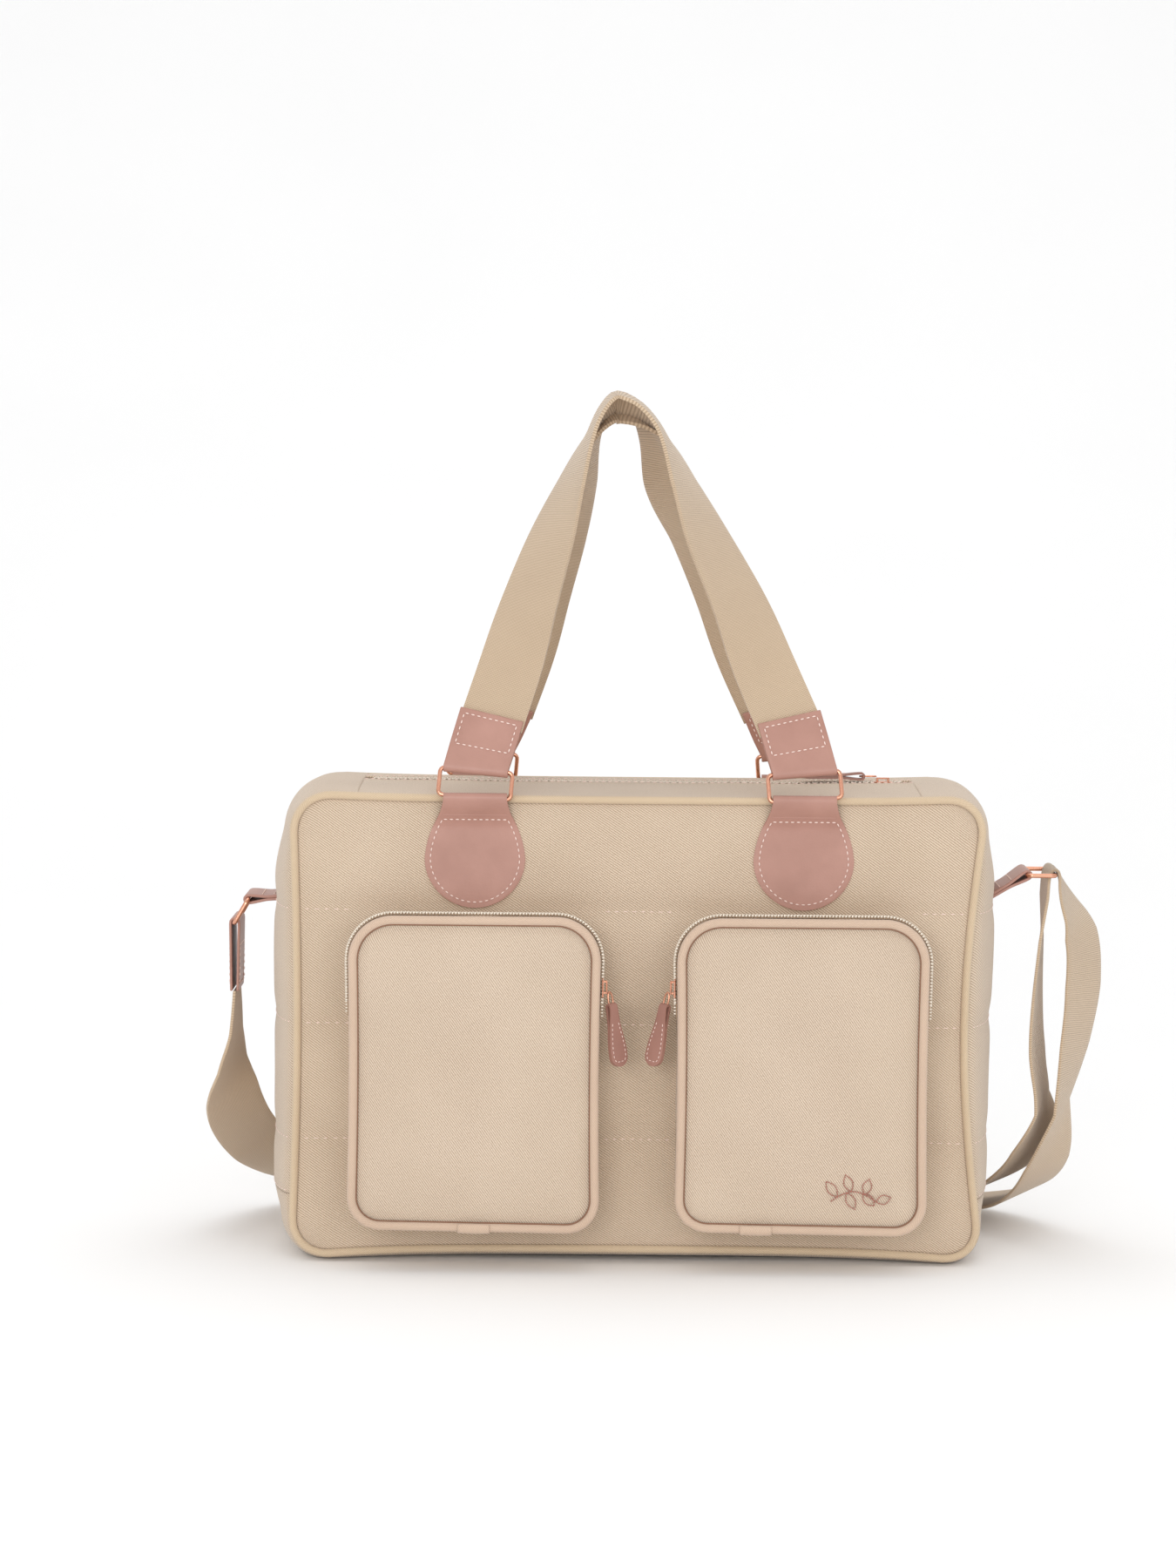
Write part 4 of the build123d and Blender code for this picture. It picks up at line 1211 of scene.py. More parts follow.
# ------------------------------------------------------------------ front pockets
@dataclass
class Pocket:
    """A boxed front pocket with a piped, zipped face that folds forward.

    Attributes:
        side: left or right.
        shell: the body that it is sewn to.
        rim: the gusset's outline.
        back_y: depth of the panel that it stands on.
        zip_y: depth of the wall's free edge, at the zip.
        edge_y: depth of the wall's edge below the zip.
        piping_y: depth of the piping's middle.
        piping_r: the piping's radius.
        fold_z: height of the line that the face folds on.
        blend_reach: how far above it the fold runs out; not used.
    """

    side: Side
    shell: Shell
    rim: Rim = field(init=False)
    back_y: float = -0.0742
    zip_y: float = -0.1028
    edge_y: float = -0.1060
    piping_y: float = -0.1084
    piping_r: float = 2.6 * MM
    fold_z: float = 0.150
    blend_reach: float = 9 * MM

    def __post_init__(self) -> None:
        """Takes the outline from the gusset in the frame."""
        low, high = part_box(f"pocket_gusset_{self.side.tag}")
        self.rim = Rim((low[0] + high[0]) / 2, (high[0] - low[0]) / 2, low[2], high[2], 0.020, 0.027)

    def lean(self, x: float, y: float, z: float) -> Vector:
        """Returns a point moved by the pocket's own slackness."""
        share = (x - self.rim.centre_x) / self.rim.half
        h = clamp((z - self.rim.low) / (self.rim.high - self.rim.low))
        forward = clamp((self.back_y - y) / (self.back_y - self.piping_y))
        waist = -0.0014 * sin(pi * h) * share ** 3 * forward
        skew = 0.00096 * share * (1 - h) ** 3 * forward
        return Vector((x + waist, y, z - skew))

    def bend(self, piece: bpy.types.Object) -> None:
        """Bakes a piece's placement into its mesh."""
        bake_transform(piece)

    def wall(self) -> None:
        """Builds the pocket's boxed wall."""
        around, reach = self.rim.length(), self.back_y - self.zip_y

        def place(a: float, b: float) -> Vector:
            """Returns the wall's face, from the panel to the zip."""
            x, z, nx, nz = self.rim.at(b * around)
            dip = -0.0011 * sin(pi * a) + 0.0006 * ripple(x, a * reach, z, 0.025, 5.0 * self.side.value)
            proud = dip - 0.1 * MM - (1 - a) * (4.2 * MM * smooth(nz, 0.0, 1.0) + 1.2 * MM)
            depth = self.edge_y if z < self.fold_z else self.zip_y
            y = self.back_y + (depth - self.back_y) * a
            foot = self.shell.panel_point(x, z, End.FRONT).y if a < 0.01 else y
            return self.lean(x + nx * proud, max(y, foot), z + nz * proud)

        wall = patch(f"pocket_gusset_{self.side.tag}_cloth", (14, 220), place, (reach, around), weld=True)
        POCKET_CANVAS.dress(thicken(wall, 1.3 * MM), "bag", f"pocket_gusset_{self.side.tag}")

    def zip_line(self, inset: float, y: float, steps: int = 120) -> list[Vector]:
        """Returns points over the top of the pocket, from one zip end to the other."""
        rim = self.rim.inset(inset)
        start = rim.climb(self.fold_z + 3 * MM)
        stop = rim.length() - start
        course = (rim.at(start + (stop - start) * k / steps) for k in range(steps + 1))
        return [self.lean(x, y, z) for x, z, _, _ in course]

    def outward(self, point: Vector) -> Vector:
        """Returns the direction away from the pocket's middle, square to its wall."""
        rim = self.rim
        x = point.x - rim.centre_x
        way = 1 if x > 0 else -1
        beside = max(0.0, abs(x) - (rim.half - rim.high_r))
        above = max(0.0, point.z - (rim.high - rim.high_r))
        return Vector((way * beside, 0, above)).normalized() if beside or above else X * way

    def zip(self) -> None:
        """Builds the tape and teeth on the wall, and the teeth that go with the face."""
        line = self.zip_line(-0.5 * MM, (self.zip_y + self.edge_y) / 2)

        def place(a: float, b: float) -> Vector:
            """Returns the tape's face."""
            spot = line[min(int(b * 120), 120)]
            return Vector((spot.x, self.zip_y + 0.6 * MM + (self.edge_y - self.zip_y - 0.2 * MM) * a, spot.z))

        name = f"pocket_zip_{self.side.tag}"
        tape = patch(f"{name}_tape", (4, 120), place, (3.4 * MM, 0.26))
        TAPE.dress(thicken(tape, 0.8 * MM, offset=0.0), "bag", name)
        flap = f"pocket_flap_{self.side.tag}"
        for part, off, body, left_out in (("wall", 1.1, "bag", 0), ("face", 2.5, flap, 4)):
            row = self.zip_line(-1.35 * MM, self.zip_y - off * MM)
            row = row[left_out:len(row) - left_out]
            teeth(f"{name}_{part}_teeth", body, row, self.outward, 1.9, (1.05, 1.6, 1.9))

    def face(self) -> None:
        """Builds the padded face as one piece, with its piping and a dark cord of painted shadow in the
        groove inside the piping.
        """
        tag, piping = self.side.tag, self.piping_r
        outline = self.rim.inset(2 * piping - 0.6 * MM)

        def place(a: float, b: float) -> Vector:
            """Returns the face's front."""
            x, z = outline.spot(a, b)
            edge = min(a, 1 - a, b * 1.25, (1 - b) * 1.25)
            crown = 0.0024 * smooth(edge, 0.0, 0.22) ** 0.7
            wave = 0.0005 * ripple(x, 0, z, 0.04, 7.0 * self.side.value)
            groove = 1.6 * MM * (1 - smooth(edge, 0.0, 0.05))
            return self.lean(x, self.piping_y - 0.3 * MM - crown - wave + groove, z)

        face = patch(f"pocket_face_{tag}_padded", (64, 84), place, outline.size(),
                     pins=lambda a, b: min(a, 1 - a, b, 1 - b) < 0.01)
        puff(face, 0.5, 2.2 * MM)
        thicken(face, 1.6 * MM, levels=1)
        POCKET_CANVAS.dress(face, None, f"pocket_face_{tag}", f"pocket_flap_{tag}")
        self.bend(face)

        line = self.rim.inset(piping - 0.1 * MM)
        middle = rim_middle(line, lambda x, z: self.lean(x, self.piping_y, z))
        cord = tube(f"pocket_piping_{tag}_cord", middle, line.length(), piping, (260, 12))
        POCKET_CORDING.dress(cord, None, f"pocket_piping_lower_{tag}", f"pocket_piping_upper_{tag}")
        self.bend(cord)
        self.wrap(line.length(), middle)

        # A thin dark cord at the bottom of the groove inside the piping: painted shadow along the seam.
        inner = self.rim.inset(2 * piping + 0.15 * MM)
        groove = rim_middle(inner, lambda x, z: self.lean(x, self.piping_y + 0.1 * MM, z))
        seam = tube(f"pocket_seam_{tag}_thread", groove, inner.length(), 0.5 * MM, (260, 8))
        self.bend(SHADOW_CORD.dress(seam, None))

    def wrap(self, around: float, middle: Middle) -> None:
        """Builds the folded strip that covers the piping's joint at the bottom.

        Args:
            around: the piping's length.
            middle: gives the piping's middle line.
        """
        start = around - (9 * MM if self.side is Side.LEFT else 36 * MM)
        reach = 19 * MM

        def place(a: float, b: float) -> Vector:
            """Returns the strip's face, round the piping."""
            spot, out, side = middle(((start + reach * b) % around) / around)
            angle = -1.3 + 3.7 * a
            lift = self.piping_r + 0.6 * MM + 0.3 * MM * sin(b * pi)
            return spot + lift * (cos(angle) * out - sin(angle) * side)

        band = patch(f"pocket_piping_{self.side.tag}_wrap", (12, 16), place, (10 * MM, reach), flip=True)
        POCKET_CORDING.dress(thicken(band, 0.5 * MM, offset=0.0), "bag")

    def hardware(self) -> None:
        """Builds the slider and the pull, which hangs a little outwards and turned."""
        tag, s = self.side.tag, self.side.value
        low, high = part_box(f"pocket_slider_{tag}")
        inner_x = high[0] if s > 0 else low[0]
        middle = Vector((inner_x + 0.1 * MM * s, (low[1] + high[1]) / 2, (low[2] + high[2]) / 2))
        Slider(f"pocket_slider_{tag}", f"pocket_slider_{tag}", middle, -Z, -s * X).build()
        tilt, turn = radians(8.5 if s < 0 else 11.5), radians(40)
        along = Vector((-s * sin(tilt), 0, -cos(tilt)))
        face = Matrix.Rotation(s * turn, 3, along) @ -Y
        Pull(f"pocket_pull_{tag}", f"pocket_pull_link_{tag}", along, face).build()

    def motif(self) -> None:
        """Embroiders a small leaf sprig near the lower outer corner."""
        thread = bmesh.new()
        centre = Vector((self.rim.centre_x + 0.031, self.piping_y - 0.0029, 0.0455))
        half, bow = 0.0135, 0.006
        stem = [centre + X * half * (k / 10 - 1) + Z * bow * sin(k / 20 * pi) for k in range(21)]
        STEM_STITCH.sew(thread, stem, -Y)
        for k, (at, angle) in enumerate(((3, 2.2), (7, -1.1), (9, 1.9), (14, -0.8), (15, 1.3), (20, 0.3))):
            length, width = 0.0115 - 0.0005 * k, 0.0027
            along, across = Vector((cos(angle), 0, sin(angle))), Vector((-sin(angle), 0, cos(angle)))
            outline = [stem[at] + along * length * n / 12 + across * side * width * sin(pi * n / 12)
                       for side, steps in ((1, range(13)), (-1, range(12, -1, -1))) for n in steps]
            LEAF_STITCH.sew(thread, outline, -Y)
        ROSE_THREAD.dress(make_object("pocket_motif", thread), "bag")

    def build(self) -> None:
        """Builds the pocket."""
        self.wall()
        self.zip()
        self.face()
        self.hardware()
        if self.side is Side.RIGHT:
            self.motif()
        log.info("%s pocket built", self.side.tag)


# ------------------------------------------------------------------ handles
@dataclass
class Handle:
    """One handle: its two keyhole tabs, rings, leather ends and webbing.

    Attributes:
        end: front or back.
        shell: the body that the tabs are sewn to.
        origin: the middle of the rings' axis.
        up: direction up the leaning handle.
        out: direction that the handle's outer face looks.
        rise: height of a ring, from bar to bar.
        tab_x: from the bag's middle to a tab's.
        circle: radius of a tab's round foot.
        neck: half the width of its neck.
        tab_low: height of its lowest point.
        flat_top: height where it leaves the panel for the bar.
        tab_wrap: radius of its fold round the bar.
        lean: of the handle towards the other one.
        tilt: of a webbing end towards the middle.
    """

    end: End
    shell: Shell
    origin: Vector = field(init=False)
    up: Vector = field(init=False)
    out: Vector = field(init=False)
    rise: float = 16.7 * MM
    tab_x: float = 98 * MM
    circle: float = 30 * MM
    neck: float = 18.7 * MM
    tab_low: float = 214.5 * MM
    flat_top: float = 262 * MM
    tab_wrap: float = 2.65 * MM
    lean: float = radians(16.8)
    tilt: float = radians(13.5)

    def __post_init__(self) -> None:
        """Takes the handle's axis from its ring joint."""
        self.origin = joint_place(f"{self.end.tag}_ring_swing")
        s = self.end.value
        self.up = Vector((0, -s * sin(self.lean), cos(self.lean)))
        self.out = Vector((0, s * cos(self.lean), sin(self.lean)))

    def at(self, u: float, v: float, n: float = 0.0) -> Vector:
        """Returns a point in the leaning plane: u along the bag, v up, n outwards."""
        return self.origin + X * u + self.up * v + self.out * n

    def tab_half(self, z: float) -> float:
        """Returns half the tab's width at a height."""
        above = z - self.tab_low - self.circle
        if above < 0:
            return sqrt(max(0.0, self.circle ** 2 - above ** 2))
        narrow = 40 * MM
        flare = [(0, self.circle), (8 * MM, self.circle - 1.3 * MM), (17 * MM, 25.8 * MM),
                 (26 * MM, 21.3 * MM), (33 * MM, self.neck + 0.6 * MM), (narrow, self.neck)]
        return ease(flare, min(above, narrow))[0]

    def tab_face(self, z: float) -> float:
        """Returns how far the tab's face stands from the bag's middle at a height."""
        flat = self.shell.panel_y + 2.8 * MM
        bar = abs(self.origin.y) + self.tab_wrap
        return flat + (bar - flat) * smooth(z, self.flat_top, self.origin.z)

    def tab_path(self, b: float) -> tuple[float, float, float]:
        """Returns height for the outline, depth and height along the tab, for a share b."""
        bar_y, bar_z, wrap = abs(self.origin.y), self.origin.z, self.tab_wrap
        sewn, free, arc, tail = self.flat_top - self.tab_low, bar_z - self.flat_top, pi * wrap, 0.016
        at = b * (sewn + free + arc + tail)
        if at < sewn:
            z = self.tab_low + sewn * (1 - cos(at / sewn * pi / 2))
            return z, self.tab_face(self.tab_low), z
        at -= sewn
        if at < free:
            z = self.flat_top + at
            return z, self.tab_face(z), z
        at -= free
        if at < arc:
            return bar_z, bar_y + wrap * cos(at / wrap), bar_z + wrap * sin(at / wrap)
        f = (at - arc) / tail
        return bar_z, bar_y - wrap - 0.0004 * f, bar_z - 0.011 * f

    def tab(self, side: Side) -> None:
        """Builds one keyhole tab with its stitching."""
        x0, s = side.value * self.tab_x, self.end.value
        name = f"handle_tab_{self.end.tag}_{side.tag}"

        def place(a: float, b: float) -> Vector:
            """Returns the tab's face."""
            outline_z, y, z = self.tab_path(b)
            return Vector((x0 + (2 * a - 1) * self.tab_half(outline_z), s * y, z))

        tab = patch(f"{name}_leather", (18, 70), place, (0.06, 0.1), flip=self.end is End.BACK)
        LEATHER.dress(thicken(tab, 1.9 * MM, rounded=0.55 * MM), "bag", name)

        inset, top_z = 3.4 * MM, 0.2675
        left, right = [], []
        for k in range(61):
            z = top_z - (top_z - self.tab_low - inset) * sin(k / 60 * pi / 2)
            below = self.tab_low + self.circle - z
            half = self.tab_half(z) - inset
            if below > 0:
                half = sqrt(max(0.0, (self.circle - inset) ** 2 - below ** 2))
            y = s * (self.tab_face(z) + 0.1 * MM)
            left.append(Vector((x0 - half, y, z)))
            right.append(Vector((x0 + half, y, z)))
        level = [left[0].lerp(right[0], k / 4) for k in range(5)]
        SADDLE.rows(f"{name}_stitches", "bag", [(left + right[-2::-1], Y * s), (level, Y * s)])

    def leather_end(self, side: Side) -> None:
        """Builds the leather that joins the webbing to its ring."""
        name, body = f"{self.end.tag}_handle_end_{side.tag}", f"{self.end.tag}_handle"
        low, top, half = self.rise, self.rise + 33.5 * MM, 19.3 * MM
        wrap, slim = 2.6 * MM, 2.5 * MM
        back = self.end is End.BACK
        shift = 14 * MM if back else 9.5 * MM
        tilt = self.tilt + (radians(3.5) if back else 0.0)

        def spread(a: float, v: float, n: float) -> Vector:
            """Returns a point across the end at a height, turned the more the higher it is."""
            h = clamp((v - low) / (top - low), 0, 1.1)
            turn = -side.value * tilt * (0.4 + 0.6 * smooth(h, 0.0, 0.6))
            w = (2 * a - 1) * half
            return self.at(side.value * (self.tab_x - shift * h) + w * cos(turn), v - w * sin(turn), n)

        def place(a: float, b: float) -> Vector:
            """Returns the leather's outer face, down the outside, round the bar and up the inside."""
            leg, at = fold_at(b, top - low, wrap)
            if leg > 0:
                return spread(a, low + at, wrap - (wrap - slim) * smooth(at, 0.0, 0.012))
            if leg < 0:
                return spread(a, low + at, -wrap)
            return spread(a, low, 0.0) - self.up * wrap * sin(at) + self.out * wrap * cos(at)

        piece = patch(f"{name}_leather", (14, 60), place, (0.038, 0.082), flip=not back)
        LEATHER.dress(thicken(piece, 1.5 * MM, offset=-0.4, rounded=0.5 * MM), body, name)

        inset = 3.2 * MM
        share, upper, lower = 1 - inset / half, top - inset, low + 12.5 * MM
        rows = []
        for n, face in ((slim + 0.7 * MM, 1), (-wrap - 0.7 * MM, -1)):
            corners = [spread(0.5 + 0.5 * k * share, v, n)
                       for v, k in ((upper, -1), (upper, 1), (lower, 1), (lower, -1), (upper, -1))]
            rows += [([here, there], self.out * face) for here, there in zip(corners, corners[1:])]
        SADDLE.rows(f"{name}_stitches", body, rows)

    def ring(self, side: Side) -> None:
        """Builds the rectangular wire ring, drawn slightly askew by its webbing."""
        name, turn = f"{self.end.tag}_ring_{side.tag}", -side.value * radians(4.5)
        rim = Rim(0.0, 21.6 * MM, -self.rise / 2, self.rise / 2, 3 * MM, 3 * MM)
        around = rim.length()
        centre = self.at(side.value * self.tab_x, self.rise / 2)
        along = X * cos(turn) - self.up * sin(turn)
        over = X * sin(turn) + self.up * cos(turn)

        def middle(a: float) -> tuple[Vector, Vector, Vector]:
            """Returns the wire's middle and its radial directions."""
            x, z, nx, nz = rim.at(a * around)
            return centre + along * x + over * z, along * nx + over * nz, self.out

        wire = tube(f"{name}_wire", middle, around, 1.3 * MM, (96, 14))
        ROSE_METAL.dress(wire, f"{self.end.tag}_rings", name)

    def stations(self) -> list[tuple[float, ...]]:
        """Returns the webbing's course: place, u, v, n, twist in degrees, fold in degrees."""
        half = [
            (0.00, 89.0, 45.0, 0.0, 0.0, 0, 0), (0.10, 75.5, 82.0, -2.0, 0.0, 7, 0),
            (0.215, 63.0, 120.0, -4.0, 0.5, 26, 0), (0.33, 47.5, 160.0, -7.0, 1.0, 42, 0),
            (0.415, 34.5, 195.0, -8.5, 1.5, 62, 0), (0.462, 23.0, 226.0, -9.5, 2.0, 78, 4),
            (0.484, 12.5, 243.5, -12.0, 2.6, 86, 16), (0.50, 0.0, 251.5, -15.0, 3.0, 90, 26),
        ]
        rows = []
        for place, reach, v, slip, n, twist, fold in [*half, *reversed(half[:-1])]:
            right = len(rows) >= len(half)
            inner = drop = open_out = 0.0
            if self.end is End.BACK:
                inner = (4.5 + 2.5 * sin(pi * clamp((v - 50) / 200))) * (1 - smooth(v, 195, 245))
                drop = 6.0 * smooth(v, 120, 240)
                if right:
                    inner += 4.0 * bell(v - 205, 22.0)
                    open_out = 26.0 * bell(v - 212, 26.0)
            if right:
                rows.append((1 - place, reach - inner + slip, v - drop, n, 180 - twist + open_out, fold))
            else:
                rows.append((place, inner - reach + slip, v - drop, n, twist, fold))
        return rows

    def webbing(self) -> None:
        """Builds the webbing, facing outwards at its ends and over the top like an arch."""
        stations, half, step = self.stations(), 19.0 * MM, 0.004

        def middle(t: float) -> tuple[Vector, float, float]:
            """Returns the middle of the webbing, its twist and its fold."""
            u, v, n, twist, fold = ease(stations, t)
            return self.at(u * MM, v * MM, n * MM), radians(twist), radians(fold)

        def place(a: float, b: float) -> Vector:
            """Returns the webbing's face."""
            spot, twist, fold = middle(b)
            along = (middle(min(b + step, 1))[0] - middle(max(b - step, 0))[0]).normalized()
            outer = (self.up * along.x - X * along.dot(self.up)).normalized()
            facing = (abs(cos(twist)) * self.out + sin(twist) * outer).normalized()
            w = (2 * a - 1) * half
            return spot + along.cross(facing).normalized() * w * cos(fold) - facing * abs(w) * sin(fold)

        name = f"{self.end.tag}_handle"
        ribbon = patch(f"{name}_ribbon", (12, 200), place, (2 * half, 0.58), flip=True)
        WEBBING.dress(thicken(ribbon, 2.2 * MM, offset=0.0, rounded=0.45 * MM), name, f"{name}_webbing")

    def build(self) -> None:
        """Builds the handle."""
        for side in Side:
            self.tab(side)
            self.leather_end(side)
            self.ring(side)
        self.webbing()
        log.info("%s handle built", self.end.tag)


# ------------------------------------------------------------------ shoulder strap
STRAP_ROUTE = (
    (-246.35, 0.0, 155.54, 0, 1, 0), (-246.35, 0.0, 128.0, 0.1, 1, 0),
    (-250.0, 3.0, 106.0, 0.35, 0.93, 0), (-251.0, 12.0, 86.0, 0.75, 0.5, 0.3),
    (-247.0, 34.0, 66.0, 0.85, 0.1, 0.45), (-238.0, 64.0, 47.0, 0.82, -0.05, 0.5),
    (-221.0, 92.0, 28.0, 0.7, -0.55, 0.4), (-192.0, 113.0, 11.0, 0.42, -0.9, 0.1),
    (-152.0, 125.0, 3.0, 0.15, -1, 0), (-104.0, 131.0, 1.6, 0, -1, 0),
    (-52.0, 127.0, 1.6, -0.1, -1, 0), (2.0, 121.0, 1.6, 0, -1, 0),
    (56.0, 124.0, 1.6, 0.05, -1, 0), (108.0, 131.0, 1.6, 0, -1, 0),
    (156.0, 131.0, 1.7, -0.1, -1, 0), (203.0, 115.0, 4.5, -0.5, -0.85, -0.05),
    (232.0, 85.0, 11.0, -0.85, -0.4, -0.25), (248.0, 49.0, 23.0, -0.9, -0.2, -0.4),
    (258.0, 20.0, 45.0, -0.8, -0.5, -0.3), (264.0, 5.0, 84.0, -0.3, -0.95, 0),
    (271.0, 0.0, 124.0, -0.55, -0.84, 0), (276.0, 0.0, 160.0, -0.64, -0.77, 0),
    (275.0, 0.0, 194.0, -0.6, -0.8, 0), (262.0, 0.0, 218.0, -0.25, -0.97, 0),
    (257.9, 0.0, 234.2, 0, -1, 0), (251.5, 0.0, 234.2, 0, -1, 0),
    (250.5, 0.0, 216.0, 0, -1, 0), (249.0, 0.0, 190.0, -0.15, -1, 0),
    (247.0, 0.0, 154.0, -0.25, -1, 0), (247.0, 0.0, 120.0, -0.35, -1, 0),
    (253.0, 5.0, 86.0, -0.3, -0.95, 0), (250.0, 19.0, 58.0, -0.75, -0.5, -0.3),
    (238.0, 45.0, 37.0, -0.88, -0.25, -0.4), (222.0, 73.0, 22.0, -0.85, -0.45, -0.25),
    (195.0, 100.0, 9.5, -0.5, -0.85, 0), (160.0, 116.5, 4.8, -0.1, -1, 0),
    (132.0, 116.5, 4.8, 0, -1, 0),
)
"""The strap's course in millimetres, each point with the way that the width lies."""


@dataclass
class ShoulderStrap:
    """The strap's webbing, its leather loops and end, its rings and slider.

    Attributes:
        half: half its width.
        thick: the webbing's thickness.
        bar_x: from the bag's middle to a ring's bar.
        root_x: from the bag's middle to a loop's sewn end.
        root_z: height of that end.
        bar_z: height of each bar.
    """

    half: float = 19.0 * MM
    thick: float = 1.8 * MM
    bar_x: float = 238 * MM
    root_x: float = 209.5 * MM
    root_z: float = 214 * MM
    bar_z: dict[Side, float] = field(default_factory=lambda: {Side.RIGHT: 231 * MM, Side.LEFT: 212 * MM})

    def centreline(self, spots: list[Vector]) -> list[Vector]:
        """Returns points on the smooth curve through the route's spots."""
        data = bpy.data.curves.new("strap_course", "CURVE")
        data.dimensions, data.resolution_u = "3D", 14
        spline = data.splines.new("NURBS")
        spline.points.add(len(spots) - 1)
        for point, spot in zip(spline.points, spots):
            point.co = (*spot, 1.0)
        spline.order_u, spline.use_endpoint_u = 3, True
        course = bpy.data.objects.new("strap_course", data)
        bpy.context.scene.collection.objects.link(course)
        mesh = bpy.data.meshes.new_from_object(course)
        line = [v.co.copy() for v in mesh.vertices]
        bpy.data.objects.remove(course)
        bpy.data.curves.remove(data)
        bpy.data.meshes.remove(mesh)
        return line

    @staticmethod
    def along(point: Vector, start: Vector, stop: Vector) -> tuple[float, float]:
        """Returns the distance from a point to a stretch, and the share of it passed there."""
        step = stop - start
        f = clamp((point - start).dot(step) / step.length_squared)
        return (point - start - step * f).length, f

    def webbing(self) -> None:
        spots = [Vector(row[:3]) * MM for row in STRAP_ROUTE]
        lies = [Vector(row[3:]).normalized() for row in STRAP_ROUTE]
        line = self.centreline(spots)
        last = len(line) - 1
        reach = sum((b - a).length for a, b in zip(line, line[1:]))
        rows, nearest = [], 0
        for point in line:
            window = range(nearest, min(nearest + 3, len(spots) - 1))
            nearest = min(window, key=lambda k: self.along(point, spots[k], spots[k + 1])[0])
            rows.append((nearest, self.along(point, spots[nearest], spots[nearest + 1])[1]))

        def place(a: float, b: float) -> Vector:
            """Returns the webbing's face."""
            k = min(int(round(b * last)), last)
            along = (line[min(k + 1, last)] - line[max(k - 1, 0)]).normalized()
            row, f = rows[k]
            wide = lies[row].lerp(lies[row + 1], f)
            wide = (wide - along * wide.dot(along)).normalized()
            return line[k] + wide * (2 * a - 1) * self.half

        ribbon = patch("shoulder_strap_webbing", (8, last), place, (2 * self.half, reach))
        thicken(ribbon, self.thick, offset=0.0, rounded=0.4 * MM)
        WEBBING.dress(ribbon, "bag", "shoulder_strap")
        [tuple(p) for p in line]

    def loop(self, side: Side) -> None:
        """Builds the leather loop on a gusset, folded round the ring's bar."""
        bar = Vector((side.value * self.bar_x, 0, self.bar_z[side]))
        root = Vector((side.value * self.root_x, 0, self.root_z))
        along, straight = (bar - root).normalized(), (bar - root).length
        up = Y.cross(along) * -side.value
        wrap, sewn = 2.3 * MM, 0.85 * MM

        def apart(share: float) -> float:
            """Returns how far the layers lie from the middle, by the share of the way out."""
            return sewn + (wrap - sewn) * smooth(share, 0.55, 1.0)

        def place(a: float, b: float) -> Vector:
            """Returns the leather's middle, out over the top, round the bar and back."""
            leg, at = fold_at(b, straight, wrap)
            w = Y * (2 * a - 1) * 18.6 * MM
            if leg:
                return bar - along * at + up * leg * apart(1 - at / straight) + w
            return bar + up * wrap * cos(at) + along * wrap * sin(at) + w

        name = f"side_loop_{side.tag}"
        loop = patch(f"{name}_leather", (14, 60), place, (0.037, 0.07))
        LEATHER.dress(thicken(loop, 1.7 * MM, offset=0.0, rounded=0.5 * MM), "bag", name)
        ROSE_METAL.cover(f"side_ring_{side.tag}")
        rows = []
        for share in (0.45, 0.7):
            spot = root + along * straight * share + up * (apart(share) + 0.95 * MM)
            rows.append(([spot + Y * 15.5 * MM * k for k in (-1, 0, 1)], up))
        SADDLE.rows(f"{name}_stitches", "bag", rows)

    def leather_end(self) -> None:
        """Builds the fixed leather end on the left ring."""
        low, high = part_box("strap_leather_end")
        x, z, bottom = (low[0] + high[0]) / 2, high[2] - 3.5 * MM, low[2]
        straight, wrap = z - bottom, 2.6 * MM

        def place(a: float, b: float) -> Vector:
            """Returns the leather's middle, up the outside, over the bar and down the inside."""
            leg, at = fold_at(b, straight, wrap)
            y = (2 * a - 1) * 18.9 * MM
            if leg:
                return Vector((x - leg * (wrap - 0.7 * MM * at / straight), y, z - at))
            return Vector((x - wrap * cos(at), y, z + wrap * sin(at)))

        piece = patch("strap_end_leather", (14, 60), place, (0.038, 0.09))
        LEATHER.dress(thicken(piece, 1.5 * MM, offset=0.0, rounded=0.5 * MM), "bag", "strap_leather_end")
        rows = []
        for face in (-1, 1):
            corners = [Vector((x + face * 2.9 * MM, y * MM, bottom + up * MM)) for y, up in
                       ((-15.5, 4.0), (15.5, 4.0), (15.5, 28.0), (-15.5, 28.0), (-15.5, 4.0))]
            rows += [([here, there], X * face) for here, there in zip(corners, corners[1:])]
        SADDLE.rows("strap_end_stitches", "bag", rows)

    def build(self) -> None:
        """Builds the strap and all that holds it."""
        self.webbing()
        for side in Side:
            self.loop(side)
        self.leather_end()
        ROSE_METAL.cover("strap_slider")
        log.info("shoulder strap built")


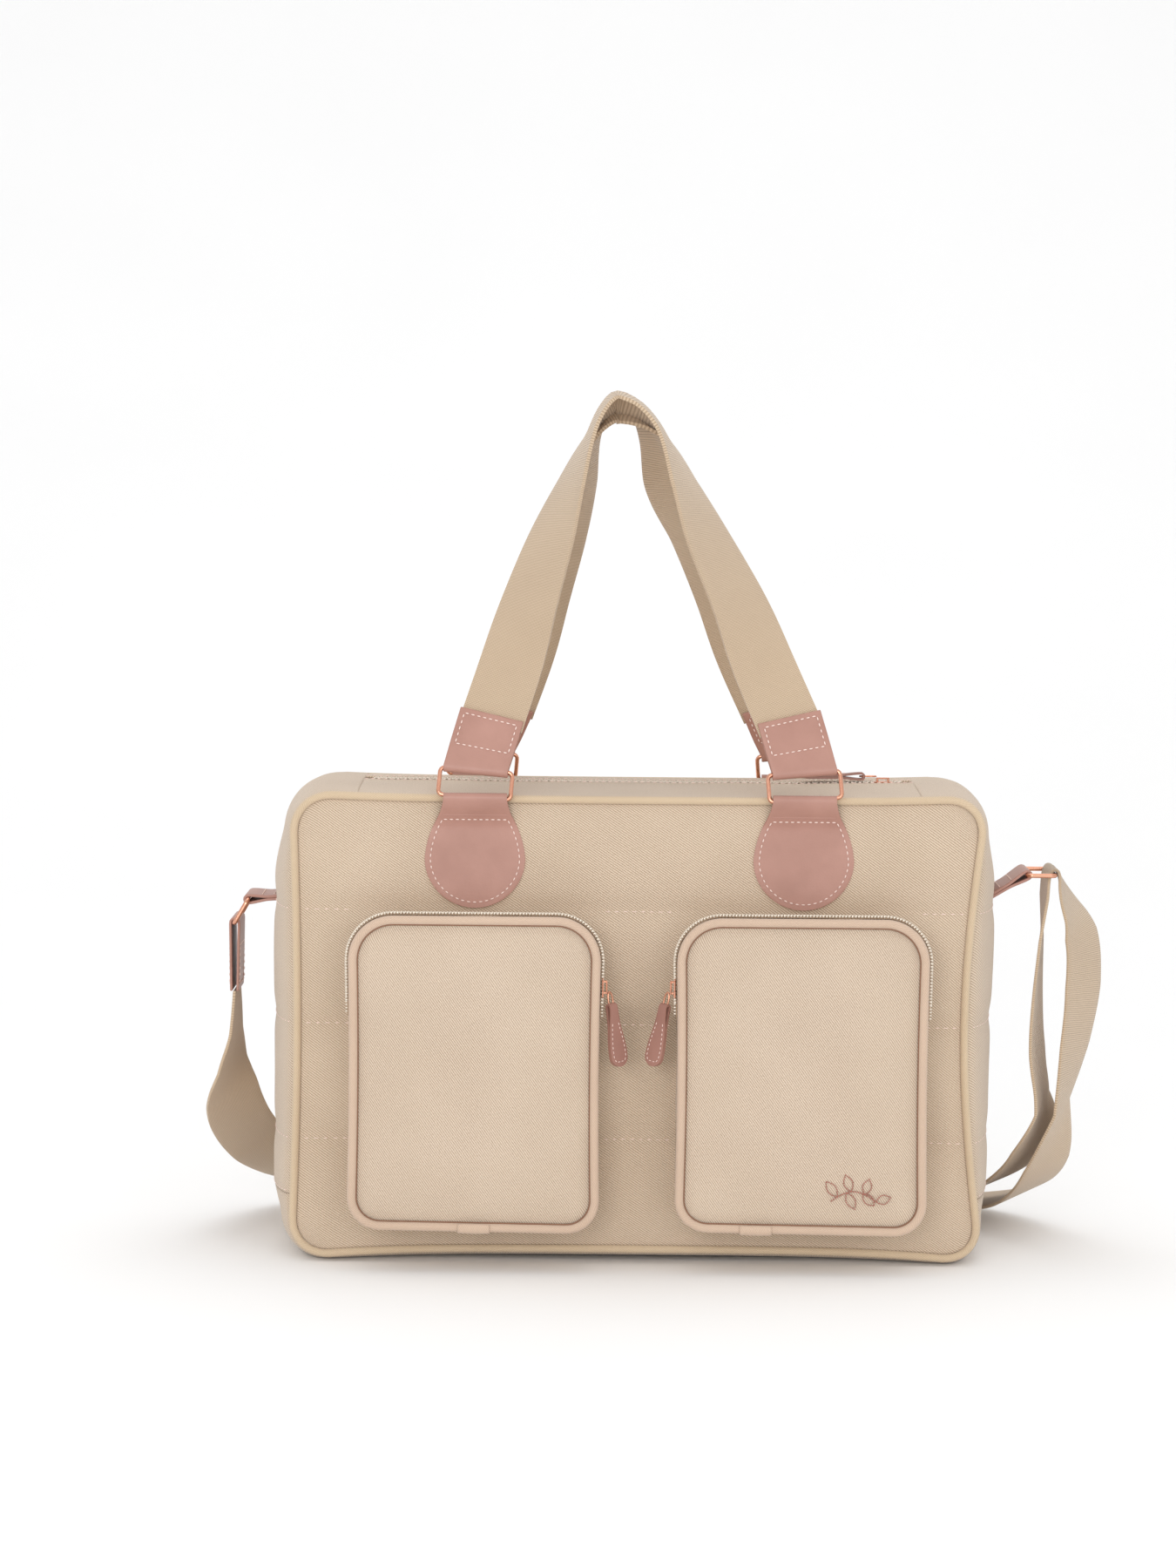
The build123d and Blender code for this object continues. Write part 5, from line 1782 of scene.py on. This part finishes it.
# ------------------------------------------------------------------ studio
@dataclass
class Studio:
    """The pale floor, the soft lights and the camera.

    Attributes:
        focal_pixels: focal length in pixels of the picture.
        picture_height: in pixels.
        film: height of the film, in millimetres.
        stand: where the camera stands.
        pitch: how far it looks down.
        roll: how far it leans.
        floor_reach: length of the level floor.
        floor_width: of floor and backdrop.
        cove: radius of the curve between them.
    """

    focal_pixels: float = 4620.0
    picture_height: float = 1800.0
    film: float = 36.0
    stand: tuple[float, float, float] = (-0.031, -2.464, 0.48)
    pitch: float = radians(4.57)
    roll: float = radians(0.5)
    floor_reach: float = 12.0
    floor_width: float = 12.0
    cove: float = 2.2

    def floor(self) -> None:
        """Builds a floor that curves up into its backdrop."""
        edge_y, whole = 1.0, self.floor_reach + 4.0

        def place(a: float, b: float) -> Vector:
            """Returns the floor and, behind it, the rising backdrop."""
            x, past = self.floor_width * (a - 0.5), b * whole - self.floor_reach
            if past < 0:
                return Vector((x, edge_y + past, 0.0))
            angle = clamp(past / self.cove, 0, pi / 2)
            rise = max(0.0, past - self.cove * pi / 2)
            return Vector((x, edge_y + self.cove * sin(angle), self.cove * (1 - cos(angle)) + rise * 2))

        floor = patch("studio_floor", (4, 160), place, (self.floor_width, whole))
        material = bpy.data.materials.new("pale floor")
        material.use_nodes = True
        g = Graph(material.node_tree)
        cloud = g.noise(g.add("TexCoord").outputs["Object"], 3.0)
        colour = g.add("Mix", {0: cloud, 6: (0.93, 0.93, 0.93, 1), 7: (0.96, 0.96, 0.96, 1)},
                       data_type="RGBA").outputs[2]
        shader = g.add("BsdfPrincipled", {"Base Color": colour, "Roughness": 0.9})
        g.add("OutputMaterial", {"Surface": shader.outputs[0]})
        floor.data.materials.append(material)

    def lamp(self, name: str, spot: tuple[float, float, float], aim: float,
             size: float, power: float) -> None:
        """Hangs a soft square lamp.

        Args:
            name: its name.
            spot: where it hangs.
            aim: height over the bag's middle that it points at.
            size: of its side.
            power: in watts.
        """
        data = bpy.data.lights.new(name, "AREA")
        data.size, data.energy = size, power
        lamp = bpy.data.objects.new(name, data)
        lamp.location = spot
        lamp.rotation_euler = (Z * aim - Vector(spot)).to_track_quat("-Z", "Y").to_euler()
        bpy.context.scene.collection.objects.link(lamp)

    def lights(self) -> None:
        """Lights the bag softly from above and in front."""
        world = bpy.data.worlds.new("studio air")
        world.use_nodes = True
        air = world.node_tree.nodes["Background"].inputs
        air[0].default_value, air[1].default_value = (1.0, 1.0, 1.0, 1.0), 0.9
        bpy.context.scene.world = world
        self.lamp("key light", (-0.7, -3.1, 0.85), 0.12, 1.2, 25.0)
        self.lamp("fill light", (1.1, -2.9, 0.6), 0.1, 1.5, 12.5)
        self.lamp("top light", (0.0, 0.4, 2.4), 0.2, 1.8, 10.0)

    def camera(self) -> None:
        """Sets the camera up in front, a little above the bag's top."""
        data = bpy.data.cameras.new("camera")
        data.sensor_fit, data.sensor_height = "VERTICAL", self.film
        data.lens = self.focal_pixels / self.picture_height * self.film
        data.clip_end = 50.0
        camera = bpy.data.objects.new("camera", data)
        camera.location = self.stand
        turn = Matrix.Rotation(pi / 2 - self.pitch, 3, "X") @ Matrix.Rotation(self.roll, 3, "Z")
        camera.rotation_euler = turn.to_euler()
        bpy.context.scene.collection.objects.link(camera)
        bpy.context.scene.camera = camera

    def build(self) -> None:
        """Builds the studio."""
        self.camera()
        self.floor()
        self.lights()
        bpy.context.scene.view_settings.view_transform = "Standard"
        log.info("studio built")


def main() -> None:
    """Builds the studio and then the bag, sub-assembly by sub-assembly."""
    logging.basicConfig(level=logging.INFO, format="%(name)s: %(message)s")
    Studio().build()
    shell = Shell()
    shell.build()
    TopOpening(shell).build()
    for side in Side:
        Pocket(side, shell).build()
    for end in End:
        Handle(end, shell).build()
    ShoulderStrap().build()


if __name__ == "__main__":
    main()
